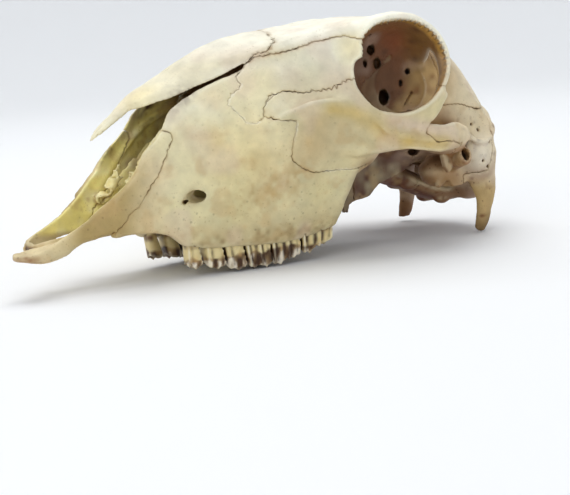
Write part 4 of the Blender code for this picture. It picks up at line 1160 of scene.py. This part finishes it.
def rear_paint(points, world, normals):
    """Browner hind parts: the base, the wings behind the palate, the ear, the jugular processes; with painted
    shade behind the socket, under faces that point down, and black in the ear's hole and the crevice behind
    it.
    """
    x, s, z = points.T
    right = world[:, 1] > 0
    shaded = clouds(points, (196, 32, 56, 10, 1), (206, 30, 50, 8, 0.6))
    under = step_up(-normals[:, 2], -0.1, 0.5) * step_up(x, 140, 158) * step_up(48 - z, 0, 8)
    wing = step_up(x, 144, 152) * step_up(206 - x, 0, 8) * step_up(30 - s, 0, 6) * step_up(50 - z, 0, 6)
    below_ear = clouds(points, (208, 28, 30, 10, 1), (214, 26, 24, 9, 0.7))
    reddish = step_up(9 - s, 0, 3) * step_up(x, 160, 176) * step_up(42 - z, 0, 10)
    process = step_up(x, 216, 221) * step_up(s, 21, 24)
    right_process = step_up(x, 218, 223) * step_up(30 - z, 0, 8) * step_up(s, 21, 24) * right
    ear_stain = clouds(points, (205.4, 43.6, 39.4, 5, 1), (209, 42, 44, 4, 0.5))
    ear_hole = step_up(near(points, ((206.6, 41, 38.6), (210, 33, 36.6)), 2.4), 0.3, 0.7)
    crevice = near(points, ((205.5, 43, 45), (208.5, 42, 45), (212, 40.5, 43.4)), 1.7)
    spots = 2 * patches(world, 2.6, 61, -0.45) * step_up(x, 190, 205) * step_up(60 - z, 0, 12)
    return [(shade(238, 222, 192), 0.6 * step_up(x, 182, 200) * step_up(104 - z, 0, 20)),
            (TAN, 0.36 * step_up(x, 186, 200) * step_up(66 - z, 0, 22)),
            # painted shade behind the socket
            (shade(176, 134, 78), shaded),
            # painted shade under faces that point down
            (shade(128, 84, 50), 0.85 * under),
            (shade(92, 58, 42), wing * (0.8 + 0.35 * noise(world, 3.5, 62))),
            (shade(158, 122, 78), 0.75 * below_ear),
            (shade(100, 50, 32), 0.85 * reddish),
            (shade(184, 154, 98), 0.9 * process * step_up(28 - z, 0, 8)),
            (shade(124, 96, 54), process * step_up(14 - z, 0, 14)),
            (shade(156, 104, 46), 0.85 * ear_stain),
            # black painted shade in the ear's hole and in the crevice behind it
            (BLACK, ear_hole),
            (BLACK, 0.9 * crevice),
            (shade(112, 62, 32), 0.7 * right_process),
            (shade(116, 76, 42), spots),
            (shade(246, 236, 214), clouds(points, (224, 34, 38, 9, 0.8))),
            (WHITE, 0.12 * near(points, ((212, 36, 50), (219, 35, 46), (230, 34, 44)), 2.4))]


def relief_paint(points, hollow, deep, hidden):
    """Edges whitened, partly as wear and partly as painted highlight, and brown dirt and painted shade in the
    hollows.
    """
    x, _, z = points.T
    worn = step_up(0.42 - hollow, 0, 0.14) * step_up(0.6 - deep, 0, 0.2) * (1 - hidden)
    worn = worn * (1 - 0.8 * step_up(x, 186, 198) * step_up(44 - z, 0, 8))
    # whitened edges: partly wear, partly painted highlight
    return [(WHITE, (0.08 + 0.26 * step_up(x, 60, 80) * step_up(z, 40, 60)) * worn),
            # brown and dark in the hollows: partly dirt, partly painted shade
            (shade(150, 108, 62), 0.7 * step_up(hollow, 0.57, 0.72)),
            (DARK, 0.8 * step_up(hollow, 0.7, 0.86) + 0.4 * step_up(deep, 0.68, 0.86))]


# How dark the dirt in a suture is, along its side-view line
SEAM_STAINS = ((FRONTONASAL, 0.4), (LACRIMAL_ABOVE, 0.95), (LACRIMAL_BELOW, 0.4),
               (LACRIMAL_FRONT, 0.02), (MALAR_FRONT, 0.2), (PREMAXILLA_SUTURE, 0.6),
               (ARCH_SEAM, 0.7), (SQUAMOSAL, 0.5), (CORONAL, 0.45))


def seam_darkness(points, world):
    """How dark the nearest suture is: faint on the face unless it is in the table."""
    flat = points * (1, 0, 1)
    strength = 0.06 + 0.14 * step_up(points[:, 0], 142, 158)
    for path, share in SEAM_STAINS:
        rows = [(x, 0, z) for x, z in path]
        strength = np.maximum(strength, share * step_up(near(flat, rows, 3), 0.2, 0.6))
    return strength * np.clip(0.8 + 0.7 * noise(world, 5, 3), 0.1, 1.2)


def seam_paint(points, world, depth):
    """Dirt in a suture and beside it, or painted light in its groove where it is faint, to lift the groove's
    shade.
    """
    strength = seam_darkness(points, world)
    groove = np.exp(-((depth + 0.05) / 0.3) ** 2)
    faint = groove * step_up(0.2 - strength, 0, 0.16) * step_up(150 - points[:, 0], 0, 8)
    # painted light in the grooves of faint sutures, against their shade
    return [(shade(255, 250, 226), 0.8 * faint),
            (shade(122, 84, 50), 0.62 * strength * groove),
            (shade(196, 166, 110), 0.25 * strength * np.exp(-((depth + 0.1) / 1.2) ** 2))]


def mottle(points, world):
    """Tan, warm and pink patches all over."""
    x, _, z = points.T
    stain = clouds(points, (120, 37, 40, 9, 0.5), (106, 32, 34, 8, 0.45))
    stain = stain + 0.35 * near(points, ((70, 21, 20), (90, 25, 15), (120, 30, 14), (140, 31, 17)), 6)
    warm = step_up(noise(world, 6.5, 9) + 0.4 * noise(world, 2.2, 10), 0.15, 0.8) * step_up(84 - z, 0, 40)
    pink = step_up(noise(world, 11, 15), 0.1, 0.7) * step_up(x, 40, 70)
    return [(shade(186, 152, 98), stain * patches(world, 2.6, 16, 0.6)),
            (shade(196, 164, 112), 0.42 * warm),
            (shade(214, 190, 172), 0.3 * pink)]


def bone_with_painted_light(points, world, normals):
    """Colours of bleached bone, with painted light from above: whiter where it faces up, a painted highlight,
    browner underneath, a painted shade, and greyer on top of the nose.
    """
    x, _, z = points.T
    nasal_top = step_up(x, 62, 84) * step_up(140 - x, 0, 22) * step_up(z + 12 * normals[:, 2], 88, 98)
    return coats(CREAM,
                 # painted highlight: whiter the higher the bone is and the more it faces up
                 (WHITE, step_up(z + 18 * normals[:, 2], 60, 98)),
                 (BUTTER, 0.6 * patches(world, 17, 1)),
                 (BLUSH, 0.35 * patches(world, 14, 2)),
                 # painted shade on faces that point down
                 (TAN, 0.35 * step_up(-normals[:, 2], 0.2, 0.9)),
                 (shade(216, 206, 172), 0.85 * nasal_top))


def bone_painter(fine, wide, sky, seam):
    """Painter of bone: clean bone with painted light from above, then its own stains, painted shade in hidden
    places, relief with its wear, dirt and painted light, seams and specks.
    """
    def paint(points, world, normals):
        x, _, z = points.T
        outward = normals * (1, -1 if world[0, 1] < 0 else 1, 1)
        hidden = step_up(0.4 - sample(sky, points + 2.6 * outward, 2, COARSE), 0, 0.18)
        hollow, deep = sample(fine, points), sample(wide, points)
        density = 0.1 + 0.2 * step_up(60 - z, 0, 40) + 0.35 * patches(world, 12, 5)
        colour = coats(bone_with_painted_light(points, world, normals),
                       *side_paint(points, world),
                       *face_tones(points, normals),
                       *cheek_paint(points, world),
                       *nose_paint(points, world, normals),
                       *rear_paint(points, world, normals),
                       # painted shade in hidden places, from the middle of the face backwards
                       (shade(128, 90, 56), 0.85 * hidden * step_up(x, 96, 126)),
                       *socket_paint(points, world),
                       *rim_paint(points, world),
                       *relief_paint(points, hollow, deep, hidden),
                       *seam_paint(points, world, sample(seam, points)),
                       (shade(136, 100, 62), 3 * patches(world, 1.3, 4, -0.7) * density))
        uneven = 1 + 0.075 * noise(world, 3.4, 7) + 0.07 * noise(world, 10, 8)
        colour = coats(colour * uneven[:, None], *mottle(points, world))
        rough = 0.4 + 0.5 * step_up(hollow, 0.5, 0.65) + 0.2 * noise(world, 6, 6)
        dirt = 0.06 + 0.3 * step_up(50 - z, 0, 30) + 0.4 * step_up(x, 180, 205)
        dirt = dirt * (1 - 0.7 * step_up(z, 84, 96))
        return colour, np.clip(np.stack([rough, dirt, density], 1), 0, 1)
    return paint


def tooth_painter(fine):
    """Painter of teeth: pale enamel ribs with dark brown tartar between and below them, and painted shade
    where they face down.
    """
    def paint(points, world, normals):
        z = points[:, 2]
        hollow = sample(fine, points)
        stripes = noise(world * (1, 1, 0.25), 1.8, 73)
        half = step_up(8.6 + 2 * noise(world, 3.5, 76) - z, 0, 1.4)
        tartar = half * np.clip(0.6 + 1.6 * stripes, 0, 1)
        pale = step_up(-stripes, 0, 0.3) * step_up(7 + 1.5 * noise(world, 2, 77) - z, 0, 1.5)
        edge = step_up(0.4 - hollow, 0, 0.12)
        stain = step_up(hollow, 0.46, 0.6) * patches(world, 3, 72, 0.95, 0.5)
        gum = step_up(z, 11.4, 13.8) * patches(world, 2, 74, 0.35)
        colour = coats(shade(236, 218, 162),
                       (shade(214, 184, 118), 0.8 * patches(world * (1, 1, 0.35), 2.4, 71)),
                       (shade(150, 96, 46), 0.6 * half),
                       (shade(66, 38, 20), 0.97 * tartar),
                       (shade(252, 244, 226), 0.85 * pale),
                       (shade(246, 236, 206), edge * (1 - 0.75 * tartar)),
                       (shade(66, 42, 24), stain),
                       (shade(120, 84, 48), gum),
                       # painted shade on faces that point down
                       (shade(150, 112, 68), 0.6 * step_up(-normals[:, 2], 0.5, 0.9)))
        masks = np.stack([0.3 + 0.5 * stain, 0.3 + 0.6 * stain, np.full(len(z), 0.3)], 1)
        return colour, np.clip(masks, 0, 1)
    return paint


# ---------------------------------------------------------------- building the pieces
# The sphenoid has no outline of its own: it is what the other bones leave of this box
SPHENOID_BOX = ((150, PAST_MIDDLE, PAST_MIDDLE), (222, 40, 110))
# What the broken right bones keep: how far forward the premaxilla and how low the jugular process reach
RIGHT_PREMAXILLA_TIP = 14.4
RIGHT_PROCESS_TIP = 2.5


def spongy_remains(cells):
    """The remains in the left side of the nose, which the right side lacks."""
    grid = empty_field()
    add(grid, crumpled(along(REMAINS, 2.6, 1.8), 1.6, 94), 0)
    return grid[cells]


def halves(name, both, cells, painter, right_cut=None, amount=1.0):
    """Left and right meshes of a paired piece's field."""
    low = lowest(cells)
    result = []
    for label, side in (("left", -1), ("right", 1)):
        field = np.minimum(both, spongy_remains(cells)) if name == "maxilla" and side < 0 else both
        if side > 0 and right_cut is not None:
            field = np.maximum(field, right_cut)
        vertices, quads = surface(field, low)
        result.append(make_mesh(f"{name}_{label}_piece", vertices, quads, side, painter, amount))
    return result


def whole(name, field, cells, painter, right_cut=None):
    """Mesh of a bone that crosses the midline."""
    field = field[:, 2:] if cells[1].start == 0 else field
    right = field if right_cut is None else np.maximum(field, right_cut[:, 2:])
    both = np.concatenate([field[:, ::-1], right], 1)
    low = np.array([AXES[0][cells[0].start], STEP * (0.5 - field.shape[1]), AXES[2][cells[2].start]])
    vertices, quads = surface(both, low)

    def both_sides(points, world, normals):
        return painter(np.abs(points) * np.sign(points * (1, 0, 1) + (0, 1, 0)), world, normals)
    return make_mesh(f"{name}_piece", vertices, quads, 1, both_sides)


def right_loss(name, x, s, z):
    """What is broken off on the right side only, as a distance field to keep outside of."""
    flat = np.stack(np.broadcast_arrays(x, s, z), -1).reshape(-1, 3)
    ragged = noise(flat, 2.0, 81).reshape(np.broadcast(x, s, z).shape)
    if name == "premaxilla":
        return RIGHT_PREMAXILLA_TIP + 1.1 * ragged - x
    return np.where((s > 20) & (z < 12), RIGHT_PROCESS_TIP + 0.6 * ragged - z, -FAR)


def bone_block(outline):
    """The part of the grid that a bone lies in."""
    if outline is None:
        return block(*SPHENOID_BOX)
    low, high = np.min(outline, 0) - 4, np.max(outline, 0) + 4
    return block((low[0], PAST_MIDDLE, low[1]), (high[0], OUTSIDE, high[1]))


def seam_field(bone, earlier, lands, cells, x, s, z):
    """Distance to a bone's limits: those of its own territory, less what the bones before it have taken."""
    def land(name):
        return lands[name][cells[0], cells[2]][:, None, :]

    half_gap = SUTURE_GAP / 2
    name, outline, inner, outer, _ = bone
    seam = np.full(np.broadcast(x, s, z).shape, -FAR, np.float32)
    if outline is not None:
        teeth_of_seam = SEAM_TOOTH_DEPTH * np.maximum(zigzag(x / SEAM_TOOTH_LENGTH), 0)
        limit = inner + half_gap + teeth_of_seam * (x > SEAM_TEETH_START)
        seam = np.maximum(land(name) + half_gap, np.maximum(limit - s, s - outer))
    for other, _, low, high, _ in earlier:
        claim = np.maximum(low - half_gap - s, s - high - half_gap)
        seam = np.maximum(seam, -np.maximum(land(other) - half_gap, claim))
    return seam


def build_bones(mass):
    """Each bone's piece with the name of its part: the mass inside the bone's limits."""
    fine, wide, sky = closeness(mass, 3), closeness(mass, 9), openness(mass)
    lands = territories()
    pieces = []
    for index, bone in enumerate(BONES):
        name, outline, _, _, middle = bone
        cells, x, s, z = bone_block(outline)
        seam = seam_field(bone, BONES[:index], lands, cells, x, s, z)
        field = soft_max(mass[cells], seam, 0.06)
        seam_grid = np.full_like(mass, -FAR)
        seam_grid[cells] = seam
        painter = bone_painter(fine, wide, sky, seam_grid)
        loss = right_loss(name, x, s, z) if name in ("premaxilla", "occipital") else None
        if middle:
            pieces.append((name, whole(name, field, cells, painter, loss)))
        else:
            pieces += zip((f"{name}_left", f"{name}_right"), halves(name, field, cells, painter, loss))
    return pieces


VOMER = ((62, 27), (75, 26), (90, 25), (105, 25), (116, 27), (124, 28.5), (150, 32), (150, 34.6), (138, 34.6),
         (134, 44), (118, 47), (90, 41), (62, 31))


def build_vomer():
    """Thin upright plate in the middle of the nose."""
    cells, x, s, z = block((56, 0, 20), (156, 4, 52))
    flat = polygon(x[:, 0], z[0], smooth_outline(VOMER))[:, None, :]
    field = soft_max(flat, np.abs(s) - 0.8, 0.5)
    flat_face, half_hidden, no_seam = empty_field(0.5), empty_field(0.2), empty_field(-FAR)
    return whole("vomer", field, cells, bone_painter(flat_face, flat_face, half_hidden, no_seam))


def build_teeth(field):
    """Left and right rows of cheek teeth."""
    cells = block((68, 5, PAST_MIDDLE), (152, 36, 26))[0]
    return halves("teeth", field[cells], cells, tooth_painter(closeness(field, 2)), amount=0.35)


# ---------------------------------------------------------------- materials
def link(tree, source, target):
    tree.links.new(source, target)


def node(tree, kind, **inputs):
    """A new node with its inputs set."""
    made = tree.nodes.new(kind)
    for name, value in inputs.items():
        made.inputs[name.replace("_", " ")].default_value = value
    return made


def grain(tree, position, scale, detail):
    """Fine noise between 0 and 1."""
    texture = node(tree, "ShaderNodeTexNoise", Scale=scale, Detail=detail, Roughness=0.6)
    link(tree, position, texture.inputs["Vector"])
    return texture.outputs["Fac"]


def pits(tree, position, scale, low, high):
    """1 in the middle of small round pits, 0 between them."""
    cells = node(tree, "ShaderNodeTexVoronoi", Scale=scale, Randomness=1.0)
    link(tree, position, cells.inputs["Vector"])
    remap = tree.nodes.new("ShaderNodeMapRange")
    link(tree, cells.outputs["Distance"], remap.inputs["Value"])
    for name, value in (("From Min", low), ("From Max", high), ("To Min", 1.0), ("To Max", 0.0)):
        remap.inputs[name].default_value = value
    return remap.outputs["Result"]


def calculate(tree, operation, *values):
    """Output of a maths node on numbers and other outputs."""
    made = tree.nodes.new("ShaderNodeMath")
    made.operation = operation
    for socket, value in zip(made.inputs, values):
        if isinstance(value, float):
            socket.default_value = value
        else:
            link(tree, value, socket)
    return made.outputs["Value"]


def multiply_colour(tree, colour, factor):
    made = tree.nodes.new("ShaderNodeVectorMath")
    made.operation = "SCALE"
    link(tree, colour, made.inputs[0])
    link(tree, factor, made.inputs["Scale"])
    return made.outputs["Vector"]


def mix_colour(tree, colour, dark, weight):
    made = tree.nodes.new("ShaderNodeMix")
    made.data_type = "RGBA"
    link(tree, weight, made.inputs["Factor"])
    link(tree, colour, made.inputs["A"])
    made.inputs["B"].default_value = (*dark, 1)
    return made.outputs["Result"]


def skull_material(name, roughness, grain_depth, pit_strength):
    """Painted colours broken up by fine grain, dirty pores and a rough surface."""
    material = bpy.data.materials.new(name)
    material.use_nodes = True
    tree = material.node_tree
    shader = tree.nodes["Principled BSDF"]
    position = tree.nodes.new("ShaderNodeTexCoord").outputs["Object"]
    tint = node(tree, "ShaderNodeAttribute")
    tint.attribute_name = "tint"
    masks = node(tree, "ShaderNodeAttribute")
    masks.attribute_name = "surface"
    split = node(tree, "ShaderNodeSeparateColor")
    link(tree, masks.outputs["Color"], split.inputs["Color"])
    coarse, fine = grain(tree, position, 210.0, 5.0), grain(tree, position, 900.0, 4.0)
    pores = pits(tree, position, 620.0, 0.1, 0.26)
    big_pores = pits(tree, position, 240.0, 0.07, 0.15)
    tone = calculate(tree, "MULTIPLY_ADD", coarse, 0.34, 0.83)
    colour = multiply_colour(tree, tint.outputs["Color"], tone)
    patchy = calculate(tree, "GREATER_THAN", coarse, 0.5)
    weight = calculate(tree, "MULTIPLY", pores, calculate(tree, "MULTIPLY", split.outputs["Blue"], patchy))
    weight = calculate(tree, "MULTIPLY", weight, pit_strength)
    colour = mix_colour(tree, colour, tuple(EARTH), weight)
    spots = calculate(tree, "MULTIPLY", big_pores, split.outputs["Green"])
    spots = calculate(tree, "MULTIPLY", spots, pit_strength)
    colour = mix_colour(tree, colour, tuple(DARK), spots)
    link(tree, colour, shader.inputs["Base Color"])
    rough = calculate(tree, "MULTIPLY_ADD", fine, 0.3, roughness)
    link(tree, rough, shader.inputs["Roughness"])
    shader.inputs["Specular IOR Level"].default_value = 0.4
    height = calculate(tree, "ADD", calculate(tree, "MULTIPLY", fine, 0.5), coarse)
    height = calculate(tree, "SUBTRACT", height, calculate(tree, "MULTIPLY", pores, 0.35))
    height = calculate(tree, "SUBTRACT", height, big_pores)
    bump = node(tree, "ShaderNodeBump", Strength=0.5, Distance=grain_depth)
    link(tree, height, bump.inputs["Height"])
    link(tree, bump.outputs["Normal"], shader.inputs["Normal"])
    return material


def build_skull():
    """All the pieces, each on the body, with the model's parts of the bones hidden."""
    face = section_loft(face_ring, 41.5, 158)
    mass = bone_mass(face)
    hollow_out(mass, face)
    tooth_field = teeth()
    mass = np.maximum(mass, 0.25 - tooth_field)
    bone = skull_material("bone", 0.42, 0.00035, 0.7)
    for cad_node, piece in build_bones(mass) + [("vomer", build_vomer())]:
        piece.data.materials.append(bone)
        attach(piece, "root")
        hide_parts(cad_node)
    enamel = skull_material("enamel", 0.22, 0.0002, 0.3)
    for piece in build_teeth(tooth_field):
        piece.data.materials.append(enamel)
        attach(piece, "root")


build_skull()


# ---------------------------------------------------------------- stage, light and camera
FLOOR_REACH = 1.2
COVE_RADIUS = 0.9
COVE_TOP = 3.0
COVE_STEPS = 12
BACKDROP_SIDES = 96
BACKDROP_COLOUR = (0.92, 0.94, 0.97, 1)
WORLD_COLOUR = (1, 0.99, 0.96, 1)
WORLD_STRENGTH = 0.52


def stage():
    """Pale floor that curves up into a wall all round."""
    profile = [(0.0, 0.0), (FLOOR_REACH, 0.0)]
    for step in range(1, COVE_STEPS + 1):
        angle = step / COVE_STEPS * math.pi / 2
        profile.append((FLOOR_REACH + COVE_RADIUS * math.sin(angle), COVE_RADIUS * (1 - math.cos(angle))))
    profile.append((FLOOR_REACH + COVE_RADIUS, COVE_TOP))
    sheet = bmesh.new()
    for radius, height in profile:
        sheet.verts.new((radius, 0, height))
    sheet.verts.ensure_lookup_table()
    for first, second in zip(sheet.verts[:-1], sheet.verts[1:]):
        sheet.edges.new((first, second))
    bmesh.ops.spin(sheet, geom=sheet.verts[:] + sheet.edges[:], angle=math.tau, steps=BACKDROP_SIDES,
                   axis=(0, 0, 1), cent=(0, 0, 0))
    bmesh.ops.remove_doubles(sheet, verts=sheet.verts, dist=0.0001)
    bmesh.ops.recalc_face_normals(sheet, faces=sheet.faces)
    mesh = bpy.data.meshes.new("backdrop")
    sheet.to_mesh(mesh)
    sheet.free()
    mesh.shade_smooth()
    backdrop = bpy.data.objects.new("backdrop", mesh)
    bpy.context.scene.collection.objects.link(backdrop)
    material = bpy.data.materials.new("backdrop")
    material.use_nodes = True
    shader = material.node_tree.nodes["Principled BSDF"]
    shader.inputs["Base Color"].default_value = BACKDROP_COLOUR
    shader.inputs["Roughness"].default_value = 0.85
    shader.inputs["Specular IOR Level"].default_value = 0.2
    mesh.materials.append(material)


# name, place, aim, size in metres, power in watts, colour
LAMPS = (("key", (-1.05, -0.62, 0.62), (0, 0, 0.05), 0.7, 3.0, (1.0, 0.98, 0.95)),
         ("top", (0.15, 0.35, 1.5), (0, 0, 0.05), 1.4, 15, (1.0, 0.99, 0.97)))


def lights():
    """Even light from all round, and two area lamps."""
    world = bpy.data.worlds.new("studio")
    world.use_nodes = True
    background = world.node_tree.nodes["Background"]
    background.inputs["Color"].default_value = WORLD_COLOUR
    background.inputs["Strength"].default_value = WORLD_STRENGTH
    bpy.context.scene.world = world
    for name, place, aim, size, power, colour in LAMPS:
        lamp = bpy.data.lights.new(name, "AREA")
        lamp.energy = power
        lamp.size = size
        lamp.color = colour
        item = bpy.data.objects.new(name, lamp)
        item.location = place
        item.rotation_euler = (Vector(place) - Vector(aim)).to_track_quat("Z", "Y").to_euler()
        bpy.context.scene.collection.objects.link(item)


# The photo's camera: its axes and place in metres, and its focal length and picture width in pixels
CAMERA_RIGHT = (0.82689, -0.55931, -0.0585)
CAMERA_UP = (0.13977, 0.10364, 0.98475)
CAMERA_FORWARD = (0.54472, 0.82245, -0.16387)
CAMERA_PLACE = (-0.345, -0.5406, 0.1103)
FOCAL_PIXELS = 1448
PICTURE_PIXELS = 570
SENSOR_WIDTH = 36


def camera():
    """The camera that the photo was taken with, as solved from it."""
    lens = bpy.data.cameras.new("camera")
    lens.sensor_width = SENSOR_WIDTH
    lens.lens = SENSOR_WIDTH * FOCAL_PIXELS / PICTURE_PIXELS
    lens.clip_start = 0.01
    item = bpy.data.objects.new("camera", lens)
    rows = [(r, u, -f, p) for r, u, f, p in zip(CAMERA_RIGHT, CAMERA_UP, CAMERA_FORWARD, CAMERA_PLACE)]
    item.matrix_world = Matrix(rows + [(0, 0, 0, 1)])
    bpy.context.scene.collection.objects.link(item)
    bpy.context.scene.camera = item


stage()
lights()
camera()
bpy.context.scene.view_settings.view_transform = "Standard"
